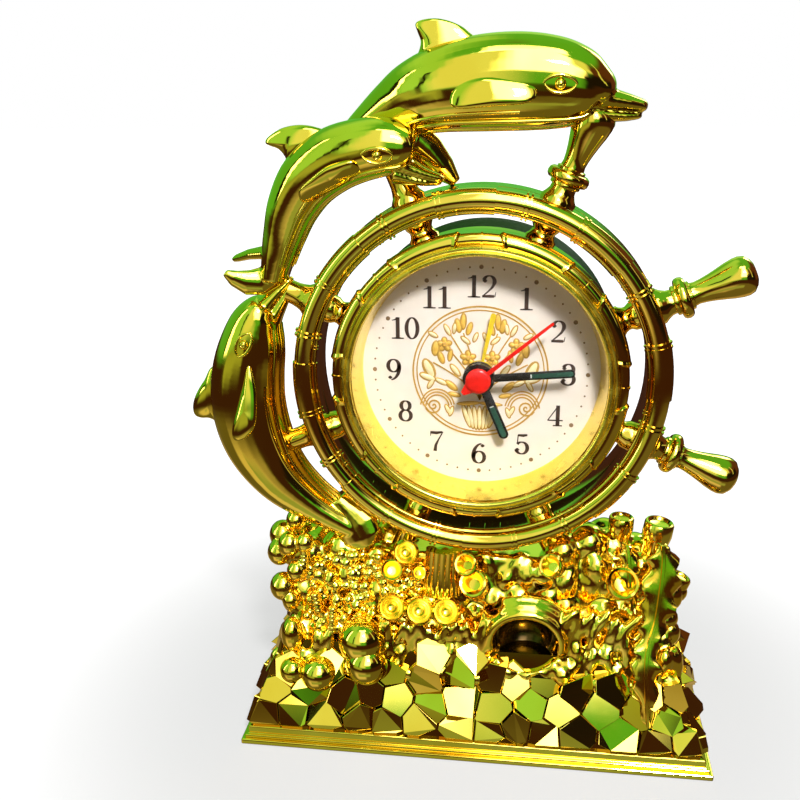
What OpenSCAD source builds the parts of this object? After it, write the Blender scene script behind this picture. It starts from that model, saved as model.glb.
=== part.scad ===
// Table alarm clock: a ship's wheel with a quartz clock in its drum, three dolphins
// around the wheel, and a rocky reef on a stepped plinth. All sizes in millimetres.
// The origin is the centre of the plinth's underside, and the dial faces -Y.

/* [Base] */
// Width of the bottom cover, left to right
base_w = 111; // [105:1:120]
// Depth of the bottom cover, front to back
base_d = 48; // [47:1:56]
// Thickness of the bottom cover
cover_t = 1.4; // [1.2:0.1:2]
// Height of the plinth above the bottom cover
plinth_h = 3.2; // [2.6:0.1:5]
// How far each step of the plinth stands back from the one below
plinth_step = 0.8; // [0.5:0.1:1.2]
// Wall of the plinth and the reef
base_wall = 2.4; // [1.8:0.1:3]

/* [Helm wheel] */
// Height of the wheel's centre
wheel_z = 90; // [89:0.5:96]
// Parting plane of the wheel and the dolphins, from the plinth's centre
helm_y = -4; // [-5:0.5:-3]
// Outer radius of the rim
ring_r = 41.5; // [40.5:0.1:43]
// Radial width of the rim
ring_w = 5; // [4.5:0.1:5.5]
// Thickness of the rim, front to back
helm_t = 16; // [15:0.5:18]
// Outer radius of the drum's front half
drum_r = 32.5; // [32:0.1:33.5]
// Outer radius of the drum's rear half
drum_rear_r = 31.5; // [31:0.1:32]
// Bore of the drum, which takes the bezel, the dial and the movement
drum_bore_r = 29.4; // [29.2:0.1:29.8]
// Radius of a spoke
spoke_r = 2.6; // [2.2:0.1:3]
// How far a turned handle stands out of the rim
handle_len = 20.9; // [20:0.1:23]
// How far the top handle stands out of the rim, into the upper dolphin's chin
chin_len = 17.8; // [17.4:0.1:18.4]
// How far a plain spoke end stands out of the rim, into a dolphin or the reef
stub_len = 8.2; // [7.8:0.1:9]
// How far the spoke end at the lower dolphin's beak stands out of the rim
beak_stub_len = 5.2; // [4.8:0.1:5.6]

/* [Dolphins] */
// Greatest half thickness of a dolphin, front to back
dolphin_depth = 8; // [7:0.1:9]
// Wall of a dolphin
dolphin_wall = 1.6; // [1.2:0.1:2]

/* [Dial and hands] */
// Thickness of the dial
dial_t = 0.8; // [0.6:0.1:1]
// Radius of the dial that shows inside the funnel
dial_seen_r = 26.6; // [26:0.1:27]
// Height of the bezel's lip over the dial
lip_h = 10; // [9.6:0.1:11]
// Thickness of the lens
lens_t = 1; // [0.8:0.1:1.2]
// Length of the hour hand
hour_len = 15.6; // [13:0.1:17]
// Length of the minute hand
minute_len = 21; // [19:0.1:24]
// Length of the second hand
second_len = 20.8; // [19:0.1:24]
// Length of the alarm hand
alarm_len = 14.4; // [11:0.1:16]
// Hour at which the hands stand
shown_hour = 5; // [0:1:11]
// Minute at which the hands stand
shown_minute = 14; // [0:1:59]
// Second at which the hands stand
shown_second = 8.3; // [0:0.1:59.9]
// Minutes past twelve at which the alarm hand stands
shown_alarm = 24; // [0:1:60]

/* [Movement] */
// Diameter of the cell
cell_d = 10.5; // [9.5:0.1:10.5]
// Length of the cell's body
cell_len = 43.4; // [42:0.1:43.6]
// Thickness of a wheel's teeth
gear_t = 0.7; // [0.5:0.05:0.8]
// Radius of the time-set knob
time_knob_r = 4.5; // [3.5:0.1:5]
// Radius of the alarm-set knob
alarm_knob_r = 4; // [3.5:0.1:4.5]
// Travel of the alarm slider
slider_travel = 4; // [3:0.1:4.5]

/* [Hidden] */
$fn = 48;

// Fits: seat is between fixed pieces, run between a shaft and its hole, slip between a lid and its frame
seat = 0.1;
run = 0.05;
slip = 0.3;
reach = 200;
half_t = helm_t / 2;

gold = [0.86, 0.66, 0.18];
pale_gold = [0.93, 0.76, 0.3];
cream = [0.95, 0.92, 0.84];
black = [0.05, 0.05, 0.05];
steel = [0.7, 0.7, 0.72];
white_plastic = [0.9, 0.9, 0.86];

// The helm's own frame: x to the right, y up, z out of the dial towards the viewer
module at_helm() {
    translate([0, helm_y, wheel_z])
        rotate([90, 0, 0])
            children();
}

// A frame whose z runs outwards along the spoke at an angle, with y towards the viewer
module along_spoke(angle) {
    rotate([0, 0, angle])
        rotate([90, 0, 90])
            children();
}

// A disc or ring between two depths of the helm frame
module disc(radius, low, high, bore = 0) {
    translate([0, 0, low])
        difference() {
            cylinder(r = radius, h = high - low);
            if (bore > 0)
                translate([0, 0, -1])
                    cylinder(r = bore, h = high - low + 2);
        }
}

// Keeps the front (+1) or rear (-1) side of the parting plane, in the helm frame
module keep_side(side) {
    intersection() {
        children();
        translate([-reach, -reach, side > 0 ? 0 : -reach])
            cube([2 * reach, 2 * reach, reach]);
    }
}

function around(angle, offset) = [(ring_r + offset) * cos(angle), (ring_r + offset) * sin(angle)];

/* Base: cover, plinth and screws */
plinth_w = base_w - 2 * plinth_step;
plinth_d = base_d - 2 * plinth_step;
plinth_z = cover_t + plinth_h;
plinth_bead = 1;
boss_r = 3;
boss_x = base_w / 2 - 8;
boss_y = base_d / 2 - 7;
screw_r = 1.2;
screw_head_r = 2.3;
screw_head_h = 0.9;
screw_depth = 5;
boss_top = cover_t + screw_depth + 1.5;

module slab(width, depth, low, high) {
    translate([-width / 2, -depth / 2, low])
        cube([width, depth, high - low]);
}

module at_bosses() {
    for (x = [-boss_x, boss_x], y = [-boss_y, boss_y])
        translate([x, y, 0])
            children();
}

module base_cover() {
    color(gold)
        difference() {
            slab(base_w, base_d, 0, cover_t);
            at_bosses() {
                translate([0, 0, -1])
                    cylinder(r = screw_r + seat, h = cover_t + 2);
                translate([0, 0, -1])
                    cylinder(r = screw_head_r + seat, h = 1 + screw_head_h);
            }
        }
}

module cover_screws() {
    color(steel)
        at_bosses() {
            translate([0, 0, seat])
                cylinder(r = screw_head_r, h = screw_head_h - seat);
            cylinder(r = screw_r, h = cover_t + screw_depth);
        }
}

module plinth() {
    color(gold)
        difference() {
            union() {
                slab(plinth_w, plinth_d, cover_t, cover_t + plinth_bead);
                slab(plinth_w - 2 * plinth_step, plinth_d - 2 * plinth_step, cover_t, plinth_z);
            }
            slab(
                plinth_w - 2 * plinth_step - 2 * base_wall,
                plinth_d - 2 * plinth_step - 2 * base_wall,
                cover_t - 1, plinth_z + 1
            );
        }
}

/* Helm: rim, drum, spokes and handles */
spoke_count = 8;
first_spoke = 22.5;
spoke_step = 360 / spoke_count;
chin_spoke = 67.5;
beak_spoke = 157.5;
handle_spokes = [22.5, 337.5];
rim_mid_r = ring_r - ring_w / 2;
round_r = 1.8;
helm_screw_r = 1;
helm_screw_head_r = 1.9;
helm_head_d = 5.6;
helm_screw_in = 4.6;
helm_screw_count = 4;

function spoke_out(angle) =
    len(search(angle, handle_spokes)) > 0 ? handle_len
    : angle == chin_spoke ? chin_len
    : angle == beak_spoke ? beak_stub_len
    : stub_len;
function is_turned(angle) = spoke_out(angle) > stub_len;

// Quarter round of a profile corner, from one direction to the next
function corner(centre, radius, from, to) =
    [for (k = [0:3]) centre + radius * [cos(from + (to - from) * k / 3), sin(from + (to - from) * k / 3)]];

module rim_half() {
    rotate_extrude($fn = 96)
        polygon(concat(
            [[ring_r - ring_w, 0], [ring_r, 0]],
            corner([ring_r - round_r, half_t - round_r], round_r, 0, 90),
            corner([ring_r - ring_w + round_r, half_t - round_r], round_r, 90, 180)
        ));
}

// Outline of a turned handle: collar, neck and bulb, cut off at its length
function handle_outline(length) = [
    [0, -1.5], [spoke_r, -1.5], [spoke_r, 2], [4, 3.2], [4.6, 5], [4, 6.8], [2.6, 7.6],
    [2.5, 9], [3, 11], [3.9, 14], [4.4, 16.6], each length < handle_len
        ? [[4.4, length], [0, length]]
        : [[4.2, length - 2.9], [3.4, length - 1.2], [2, length - 0.3], [0, length]]
];

module spoke_half(angle) {
    along_spoke(angle) {
        translate([0, 0, drum_rear_r - 1])
            rotate_extrude(angle = 180)
                square([spoke_r, ring_r - drum_rear_r - 0.5]);
        translate([0, 0, ring_r])
            rotate_extrude(angle = 180)
                if (is_turned(angle))
                    polygon(handle_outline(spoke_out(angle)));
                else
                    translate([0, -1.5])
                        square([spoke_r, spoke_out(angle) + 1.5]);
    }
}

module spokes_half() {
    for (k = [0:spoke_count - 1])
        spoke_half(first_spoke + k * spoke_step);
}

module at_helm_screws() {
    for (k = [0:helm_screw_count - 1])
        rotate([0, 0, k * 360 / helm_screw_count])
            translate([rim_mid_r, 0, 0])
                children();
}

// Room for the rim and the spoke ends in what they stand in
module helm_room(gap) {
    disc(ring_r + gap, -half_t - gap, half_t + gap);
    for (k = [0:spoke_count - 1]) {
        angle = first_spoke + k * spoke_step;
        along_spoke(angle)
            translate([0, 0, ring_r - 2])
                cylinder(
                    r = (angle == chin_spoke ? 4.4 : spoke_r) + gap,
                    h = spoke_out(angle) + 2 + gap, $fn = 24
                );
    }
}

module helm_front() {
    color(gold)
        at_helm()
            difference() {
                union() {
                    rim_half();
                    rotate_extrude($fn = 96)
                        polygon([
                            [drum_bore_r, 0], [drum_r, 0], [drum_r, half_t - 1],
                            [drum_r - 1, half_t], [drum_bore_r, half_t]
                        ]);
                    spokes_half();
                }
                at_helm_screws()
                    translate([0, 0, -1])
                        cylinder(r = helm_screw_r + run, h = helm_screw_in + seat + 1);
                disc(drum_bore_r, -1, half_t + 1);
            }
}

module helm_rear() {
    color(gold)
        at_helm()
            difference() {
                union() {
                    mirror([0, 0, 1])
                        rim_half();
                    disc(drum_rear_r, -half_t, 0, drum_bore_r);
                    mirror([0, 0, 1])
                        spokes_half();
                }
                at_helm_screws() {
                    disc(helm_screw_r + seat, -half_t - 1, 1);
                    disc(helm_screw_head_r + seat, -half_t - 1, -helm_head_d);
                }
                disc(drum_bore_r, -half_t - 1, 1);
            }
}

module helm_screws() {
    color(steel)
        at_helm()
            at_helm_screws() {
                disc(helm_screw_head_r, 0.6 - half_t, -helm_head_d);
                disc(helm_screw_r, -helm_head_d, helm_screw_in);
            }
}

/* Dolphins: bodies swept along spines around the wheel */
// A station of a body is its angle around the wheel, its distance off the rim, and its half height
upper_body = [
    [66.6, 22.2, 2.5], [68, 22.7, 4.6], [70.4, 22.6, 6.6], [73.6, 22.4, 8], [77.5, 22, 8.9],
    [83, 21.3, 9.4], [90, 20.6, 9.3], [97.5, 20.1, 8.5], [103.5, 19.4, 7.4], [108.5, 18.4, 6],
    [114, 17.2, 4.7], [120, 16, 3.6], [125, 14.5, 2.8]
];
middle_body = [
    [106, 8, 2], [107, 9.1, 3.8], [109.6, 10.7, 5], [113.8, 12.5, 5.8], [118.6, 13.9, 6.3],
    [124, 14.7, 6.3], [131, 14.6, 5.8], [138, 13.1, 4.8], [144.6, 11.2, 3.9], [150.3, 9.8, 3.2],
    [156, 8.8, 2.6]
];
lower_body = [
    [161.8, 8.5, 2.2], [165, 9.8, 4.4], [169.4, 10.7, 6.1], [175, 11.3, 7.4], [181.5, 12.4, 8.1],
    [188, 13.4, 8.4], [194.6, 13.9, 8.3], [200.6, 13.9, 7.9], [206.8, 13.4, 7], [213, 12.3, 6],
    [220.8, 10.3, 4.6], [228.3, 8.6, 3.7], [235, 7.5, 3]
];
// A knob of a beak, fin, flipper or fluke is its angle, its distance off the rim, its depth and its radius
upper_beak = [[67.5, 20.9, 0, 3.3], [62.5, 22.5, 0, 2.1], [60.2, 23.7, 0, 1.3]];
upper_fin = [[92.5, 28.4, 0, 1.5], [95.5, 32, 0, 0.9], [100.5, 33.6, 0, 0.7], [102, 26, 0, 1.5]];
upper_flipper = [[81, 17.7, 6.2, 1.6], [90, 20.6, 7.2, 1.2], [95, 18.6, 7, 1]];
middle_beak = [[106.5, 6.1, 0, 2.4], [102.7, 3.9, 0, 1.8], [100.3, 2.7, 0, 1.2]];
middle_fin = [[122, 18.6, 0, 1.4], [125.5, 22.6, 0, 1], [131.6, 24.8, 0, 0.8], [130.5, 18.6, 0, 1.3]];
middle_flipper = [[121.5, 10.6, 5.2, 1.4], [127, 12.6, 5.8, 1.1], [133, 11.4, 5.2, 0.9]];
middle_flukes = [
    [[154, 8.8, 3, 2.2], [158.5, 16, 5.4, 1], [160.5, 12.6, 5.4, 1.2]],
    [[152.5, 9.5, -3, 2], [156, 18.2, -5, 0.9], [153, 14, -4.6, 1]]
];
lower_beak = [[162.5, 8.2, 0, 2.8], [157.8, 6, 0, 1.9], [154, 5.1, 0, 1.1]];
lower_fin = [[182.5, 18.5, 0, 1.6], [185.2, 24, 0, 1], [188.6, 26.6, 0, 0.9], [192, 19.5, 0, 1.6]];
lower_flipper = [[181.6, 14, 5.6, 1.5], [196.3, 15.6, 6.8, 0.9], [194.3, 11.1, 7, 0.9]];
lower_flukes = [
    [[233.2, 7.9, 0.4, 2.5], [243, 4.2, 0.2, 1.1]],
    [[235.6, 8.6, -0.3, 2.2], [239.5, 15, 0.3, 1.2]]
];
body_sides = 14;
skin_steps = 2;
hollow_steps = 1;
full_height = 9.4;
depth_power = 0.45;
section_power = 0.85;

function spread(value, power) = sign(value) * pow(abs(value), power);
function smooth(a, b, c, d, t) =
    b + 0.5 * t * (c - a + t * (2 * a - 5 * b + 4 * c - d + t * (3 * (b - c) + d - a)));
function spine(stations, steps) =
    let (points = [for (s = stations) concat(around(s[0], s[1]), [s[2]])], last = len(points) - 1)
    [
        for (i = [0:last - 1], k = [0:steps - 1])
            smooth(
                points[max(i - 1, 0)], points[i], points[i + 1], points[min(i + 2, last)], k / steps
            ),
        points[last]
    ];

// One ring of the sweep: across the spine by its half height, and front to back by its depth
function section(line, i, gap) =
    let (
        along = line[min(i + 1, len(line) - 1)] - line[max(i - 1, 0)],
        run_len = norm([along[0], along[1]]),
        across = [-along[1], along[0]] / run_len,
        height = line[i][2] + gap,
        depth = dolphin_depth * pow(line[i][2] / full_height, depth_power) + gap
    )
    [
        for (k = [0:body_sides - 1])
            let (
                c = spread(cos(360 * k / body_sides), section_power),
                s = spread(sin(360 * k / body_sides), section_power)
            )
            [line[i][0] + across[0] * height * c, line[i][1] + across[1] * height * c, depth * s]
    ];

module sweep_body(stations, gap, steps = skin_steps) {
    line = spine(stations, steps);
    last = len(line) - 1;
    n = body_sides;
    polyhedron(
        points = [for (i = [0:last]) each section(line, i, gap)],
        faces = concat(
            [[for (k = [0:n - 1]) k]],
            [
                for (i = [0:last - 1], k = [0:n - 1])
                    each [
                        [i * n + k, (i + 1) * n + k, i * n + (k + 1) % n],
                        [i * n + (k + 1) % n, (i + 1) * n + k, (i + 1) * n + (k + 1) % n]
                    ]
            ],
            [[for (k = [n - 1:-1:0]) last * n + k]]
        )
    );
}

module knob(k, gap) {
    place = around(k[0], k[1]);
    translate([place[0], place[1], k[2]])
        sphere(r = k[3] + gap, $fn = 12);
}

module knob_hull(knobs, gap, side = 1) {
    hull()
        for (k = knobs)
            knob([k[0], k[1], side * k[2], k[3]], gap);
}

// A chain of hulls from knob to knob, for a beak that tapers
module knob_chain(knobs, gap) {
    for (i = [0:len(knobs) - 2])
        knob_hull([knobs[i], knobs[i + 1]], gap);
}

module dolphin_outside(body, beak, fin, flipper, flukes, gap) {
    sweep_body(body, gap);
    knob_chain(beak, gap);
    for (i = [0:len(fin) - 3])
        knob_hull([fin[0], fin[i + 1], fin[i + 2]], gap);
    for (side = [-1, 1])
        knob_hull(flipper, gap, side);
    for (fluke = flukes)
        knob_hull(fluke, gap);
}

module upper_outside(gap = 0) {
    dolphin_outside(upper_body, upper_beak, upper_fin, upper_flipper, [], gap);
}

module middle_outside(gap = 0) {
    dolphin_outside(middle_body, middle_beak, middle_fin, middle_flipper, middle_flukes, gap);
}

module lower_outside(gap = 0) {
    dolphin_outside(lower_body, lower_beak, lower_fin, lower_flipper, lower_flukes, gap);
}

module upper_dolphin(side) {
    color(gold)
        at_helm()
            keep_side(side)
                difference() {
                    upper_outside();
                    sweep_body(upper_body, -dolphin_wall, hollow_steps);
                    middle_outside(seat);
                    helm_room(seat);
                }
}

module middle_dolphin(side) {
    color(gold)
        at_helm()
            keep_side(side)
                difference() {
                    middle_outside();
                    sweep_body(middle_body, -dolphin_wall, hollow_steps);
                    lower_outside(seat);
                    helm_room(seat);
                }
}

module lower_dolphin(side) {
    color(gold)
        at_helm()
            keep_side(side)
                difference() {
                    lower_outside();
                    sweep_body(lower_body, -dolphin_wall, hollow_steps);
                    helm_room(seat);
                }
}

/* Reef: hollow mound with stones, coral, a cave, sponges and a seaweed blade */
skirt_w = plinth_w - 2 * plinth_step;
skirt_d = plinth_d - 2 * plinth_step;
waist_z = 25;
skirt_in_w = 16;
skirt_in_d = 12;
waist_w = skirt_w - skirt_in_w;
waist_d = skirt_d - skirt_in_d;
shelf_h = 8;
crown_z = wheel_z - ring_r - 2;
crown_w = waist_w - 4;
core_in_w = 8;
core_in_d = 7;
crown_in_w = 2;
crown_in_d = 9;
core_w = waist_w - core_in_w;
core_d = waist_d - core_in_d;
crown_core_w = core_w - crown_in_w;
crown_core_d = core_d - crown_in_d;
stone_sink = 1.2;
stone_r = 5.4;
stone_h = 2.8;
stone_pitch = 7.6;
stone_rows = 3;
rock_rows = 3;
rocks_in_row = 11;
rock_r = 4.6;
rock_spread = 0.9;
cave_x = 12;
cave_z = 28;
cave_r = 7.6;
cave_rim = 1.4;
left_x = -crown_w / 2;
right_x = crown_w / 2;
front_y = -waist_d / 2;
crown_front_y = -crown_core_d / 2;
cave_depth = helm_y - front_y - base_wall - 1;
// A lump of coral is its place from the left edge, from the crown's front and under the crown, and its radius
lumps = [
    [-2, 2.4, -1, 3.2], [-2.4, 0.4, 5, 3.2], [-2, -1.6, 12, 3.2], [1.6, 5.4, -1, 3.2], [4, -1.6, 0, 3],
    [9, -3.6, 4, 3.2], [20, -3.6, 8, 3], [41, -3.6, 4, 3], [62, -3.6, 6, 3], [67, -4.6, 13, 3.2]
];
// A boulder among the stones is its place from the left edge, its height under the crown, and its radius
boulders = [[7, 29, 3.9], [18.4, 24, 4.6], [15, 21, 4]];
// A finger sponge is its place from the right edge, its y, foot and tip under the crown, and its radius
fingers = [[-10.4, -2, 6, -8.6, 2.7], [-2, -3, 6, -8, 3.3], [3, -4, 18, 5.4, 2.6]];
trunk_x = -9;
trunk_r = 3.6;
// A joint of the seaweed blade is its place from the right edge, from the front and under the crown,
// and its half width
blade = [
    [-4.6, 4.8, -7, 1.2], [-3.6, 3.4, -2, 3.6], [-3, 1.8, 6, 4.2], [-4, 0, 14, 2.6],
    [-5.6, -1.6, 21, 2.8], [-5.2, -3.6, 30, 3], [-4.4, -5.2, 37, 1.6]
];
blade_t = 0.8;

module frustum(low_w, low_d, low_z, high_w, high_d, high_z) {
    hull() {
        slab(low_w, low_d, low_z, low_z + 0.1);
        slab(high_w, high_d, high_z - 0.1, high_z);
    }
}

module mound(wall) {
    frustum(
        skirt_w - 2 * wall, skirt_d - 2 * wall, wall > 0 ? plinth_z - 1 : plinth_z,
        waist_w - 2 * wall, waist_d - 2 * wall, waist_z - wall
    );
    frustum(
        core_w - 2 * wall, core_d - 2 * wall, waist_z - wall - 0.5,
        crown_core_w - 2 * wall, crown_core_d - 2 * wall, crown_z - wall
    );
}

// One rock at a share of the core's half width, half depth and height, sized by its own draw
module rock(across, deep, share, draw) {
    translate([
        across * (core_w + share * (crown_core_w - core_w)) / 2,
        deep * (core_d + share * (crown_core_d - core_d)) / 2,
        waist_z + 1 + share * (crown_z - waist_z - rock_r)
    ])
        rotate([60 * draw, 0, 90 * draw])
            sphere(r = rock_r + rock_spread * draw, $fn = 8);
}

// Rows of rocks along the front, the rear and the ends of the core
module rocks() {
    for (row = [0:rock_rows - 1]) {
        share = row / (rock_rows - 1);
        draw = rands(-1, 1, 2 * rocks_in_row + 4, 61 + row);
        for (k = [0:rocks_in_row - 1], side = [0, 1])
            rock(2 * k / (rocks_in_row - 1) - 1, 2 * side - 1, share, draw[2 * k + side]);
        for (end = [0, 1], side = [0, 1])
            rock(2 * end - 1, (2 * side - 1) / 3, share, draw[2 * rocks_in_row + 2 * end + side]);
    }
}

// One row of cut stones along a sloping side, each a blunt six-sided gem turned and sized by its own draw
module stone_row(length, row, seed) {
    count = floor(length / stone_pitch);
    draw = rands(-1, 1, 3 * (count + 1), seed);
    for (k = [0:count])
        translate([(k - count / 2) * stone_pitch + (row % 2) * stone_pitch / 2, 0, 0])
            rotate([8 * draw[3 * k], 8 * draw[3 * k + 1], 60 * draw[3 * k + 2]])
                cylinder(
                    r1 = stone_r + 0.5 * draw[3 * k], r2 = stone_r * 0.6, h = stone_h, $fn = 6
                );
}

// The rows of one side: the side's length, its distance from the centre at the foot and at the waist
module stone_side(foot_len, waist_len, foot_out, waist_out, seed) {
    slope = atan2(foot_out - waist_out, waist_z - plinth_z);
    for (row = [0:stone_rows - 1]) {
        share = (row + 0.5) / stone_rows;
        out = foot_out + (waist_out - foot_out) * share - stone_sink;
        translate([0, -out, plinth_z + (waist_z - plinth_z) * share])
            rotate([90 - slope, 0, 0])
                stone_row(foot_len + (waist_len - foot_len) * share - 1.4 * stone_pitch, row, seed + row);
    }
}

module stones() {
    intersection() {
        union() {
            stone_side(skirt_w, waist_w, skirt_d / 2, waist_d / 2, 11);
            rotate([0, 0, 180])
                stone_side(skirt_w, waist_w, skirt_d / 2, waist_d / 2, 21);
            rotate([0, 0, 90])
                stone_side(skirt_d, waist_d, skirt_w / 2, waist_w / 2, 31);
            rotate([0, 0, -90])
                stone_side(skirt_d, waist_d, skirt_w / 2, waist_w / 2, 41);
        }
        slab(skirt_w, skirt_d, plinth_z, crown_z);
    }
}

module finger(f) {
    translate([right_x + f[0], f[1], crown_z - f[2]]) {
        cylinder(r = f[4], h = f[2] - f[3] - f[4], $fn = 12);
        translate([0, 0, f[2] - f[3] - f[4]])
            sphere(r = f[4], $fn = 12);
    }
}

module blade_joint(j) {
    for (side = [-1, 1])
        translate([right_x + j[0] + side * (j[3] - blade_t), front_y + j[1], crown_z - j[2]])
            sphere(r = blade_t, $fn = 8);
    translate([right_x + j[0], front_y + j[1] + 2 * blade_t, crown_z - j[2]])
        sphere(r = blade_t, $fn = 8);
}

module seaweed() {
    for (k = [0:len(blade) - 2])
        hull() {
            blade_joint(blade[k]);
            blade_joint(blade[k + 1]);
        }
}

module coral() {
    for (l = lumps)
        translate([left_x + l[0], crown_front_y + l[1], crown_z - l[2]])
            sphere(r = l[3], $fn = 10);
    for (b = boulders)
        translate([left_x + b[0], front_y - 0.5, crown_z - b[1]])
            sphere(r = b[2], $fn = 12);
    for (f = fingers)
        finger(f);
    translate([trunk_x, front_y + 7, crown_z - 10])
        cylinder(r = trunk_r, h = 12, $fn = 10);
    translate([cave_x, front_y + 0.5, cave_z])
        rotate([90, 0, 0])
            rotate_extrude($fn = 24)
                translate([cave_r + cave_rim / 2, 0])
                    circle(r = cave_rim, $fn = 8);
    seaweed();
}

module cave(radius, from, to) {
    translate([cave_x, front_y + to, cave_z])
        rotate([90, 0, 0])
            cylinder(r = radius, h = to - from, $fn = 24);
}

module reef(side) {
    color(gold)
        difference() {
            intersection() {
                difference() {
                    union() {
                        difference() {
                            union() {
                                mound(0);
                                frustum(waist_w, waist_d, waist_z - 0.2, core_w, core_d, waist_z + shelf_h);
                                stones();
                                rocks();
                                coral();
                            }
                            mound(base_wall);
                        }
                        cave(cave_r + base_wall, 0, cave_depth + base_wall);
                        at_bosses()
                            translate([0, 0, plinth_z])
                                cylinder(r = boss_r, h = boss_top - plinth_z, $fn = 24);
                    }
                    cave(cave_r, -4, cave_depth);
                    at_bosses()
                        translate([0, 0, plinth_z - 1])
                            cylinder(r = screw_r + run, h = screw_depth, $fn = 24);
                }
                translate([-reach, side > 0 ? helm_y - reach : helm_y, 0])
                    cube([2 * reach, reach, reach]);
            }
            at_helm() {
                helm_room(seat);
                lower_outside(seat);
            }
        }
}

/* Bezel, lens, dial and hands, by their depth in front of the dial */
bezel_r = drum_bore_r - seat;
lip_r = bezel_r + 0.8;
lip_in_r = dial_seen_r + 1.2;
lens_r = lip_in_r + 0.8;
lens_low = lip_h - 0.8 - lens_t;
dial_r = drum_bore_r - slip;
second_shaft_r = 0.45;
pipe_wall = 0.55;
minute_pipe_r = second_shaft_r + run + pipe_wall;
hour_pipe_r = minute_pipe_r + run + pipe_wall;
alarm_pipe_r = hour_pipe_r + run + pipe_wall;
dial_hole_r = alarm_pipe_r + slip;
hand_t = 0.4;
hub_t = 0.8;
alarm_h = 1.6;
hand_rise = 1.6;
hour_h = alarm_h + hand_rise;
minute_h = hour_h + hand_rise;
second_h = minute_h + hand_rise;
hub_wall = 1;
cap_r = 2.8;
hour_w = 2.2;
minute_w = 2;
second_w = 0.8;
alarm_w = 1;
second_tail = 5;

// Angles in the helm frame, anticlockwise from the right, of hands that turn clockwise from twelve
second_angle = 90 - 6 * shown_second;
minute_angle = 90 - 6 * (shown_minute + shown_second / 60);
hour_angle = 90 - 30 * (shown_hour + shown_minute / 60);
alarm_angle = 90 - shown_alarm / 2;

module bezel_ring() {
    color(gold)
        at_helm()
            rotate_extrude($fn = 96)
                polygon([
                    [dial_seen_r, 0], [lip_in_r, lens_low - seat / 2], [lens_r + seat, lens_low - seat / 2],
                    [lens_r + seat, lens_low + lens_t + seat / 2], [lip_in_r, lens_low + lens_t + seat / 2],
                    [lip_in_r + 0.3, lip_h - 0.2], [lip_in_r + 0.9, lip_h], [lip_r - 0.7, lip_h],
                    [lip_r, lip_h - 0.8], [lip_r, half_t], [bezel_r, half_t], [bezel_r, 0]
                ]);
}

module lens() {
    color([0.8, 0.9, 0.95, 0.3])
        at_helm()
            disc(lens_r, lens_low, lens_low + lens_t);
}

module dial() {
    color(cream)
        at_helm()
            disc(dial_r, -dial_t, 0, dial_hole_r);
}

// A hand: a hub pressed on its pipe, and a blade that narrows from its root to its tip
module hand(angle, height, length, width, tip, bore, tail = 0) {
    at_helm()
        difference() {
            union() {
                disc(bore + hub_wall, height, height + hub_t);
                translate([0, 0, height + (hub_t - hand_t) / 2])
                    rotate([0, 0, angle])
                        linear_extrude(hand_t)
                            polygon([
                                [-tail, -width / 2], [length - tip, -width / 2], [length, -tip / 2],
                                [length, tip / 2], [length - tip, width / 2], [-tail, width / 2]
                            ]);
            }
            disc(bore, height - 1, height + hub_t + 1);
        }
}

module alarm_hand() {
    color(pale_gold)
        hand(alarm_angle, alarm_h, alarm_len, alarm_w, 0.5, alarm_pipe_r);
}

module hour_hand() {
    color(black)
        hand(hour_angle, hour_h, hour_len, hour_w, 1.2, hour_pipe_r);
}

module minute_hand() {
    color(black)
        hand(minute_angle, minute_h, minute_len, minute_w, 1, minute_pipe_r);
}

module second_hand() {
    color("red") {
        hand(second_angle, second_h, second_len, second_w, 0.4, second_shaft_r, second_tail);
        at_helm()
            disc(cap_r, second_h, second_h + hub_t, second_shaft_r);
    }
}

/* Movement: layers of the train behind the dial, as depths below it */
case_front = -dial_t;
case_wall = 1.2;
case_r = drum_bore_r - slip;
case_in_r = case_r - case_wall;
case_in = case_front - case_wall;
layer = 1;
layer_gap = layer - gear_t;
alarm_l = case_in - layer_gap - gear_t;
hour_l = alarm_l - layer;
motion_l = hour_l - layer;
plate_t = 0.8;
mid_high = motion_l - 0.4;
mid_low = mid_high - plate_t;
centre_l = mid_low - layer_gap - gear_t;
third_l = centre_l - layer;
second_l = third_l - layer;
fast_l = second_l - layer;
magnet_low = fast_l - 2.4;
magnet_high = fast_l - 0.4;
rear_high = magnet_low - 0.6;
rear_low = rear_high - 1;
pivot_r = 0.4;
arbor_r = 1;
post_r = 1.4;

// Teeth and modules; each pair of wheels sits at the distance that its teeth call for
rotor_teeth = 8;
intermediate_teeth = 48;
intermediate_pinion_teeth = 12;
second_teeth = 60;
second_pinion_teeth = 8;
third_teeth = 64;
third_pinion_teeth = 8;
centre_teeth = 60;
cannon_teeth = 12;
minute_wheel_teeth = 36;
minute_pinion_teeth = 10;
hour_teeth = 40;
alarm_teeth = 40;
set_teeth = 12;
fine = 0.25;
coarse = 0.5;
second_dist = fine * (second_teeth + intermediate_pinion_teeth) / 2;
rotor_dist = fine * (intermediate_teeth + rotor_teeth) / 2;
third_dist = fine * (second_pinion_teeth + third_teeth) / 2;
centre_module = 2 * third_dist / (third_pinion_teeth + centre_teeth);
motion_dist = coarse * (cannon_teeth + minute_wheel_teeth) / 2;
hour_module = 2 * motion_dist / (minute_pinion_teeth + hour_teeth);
time_dist = coarse * (minute_wheel_teeth + set_teeth) / 2;
alarm_dist = coarse * (alarm_teeth + set_teeth) / 2;

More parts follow.
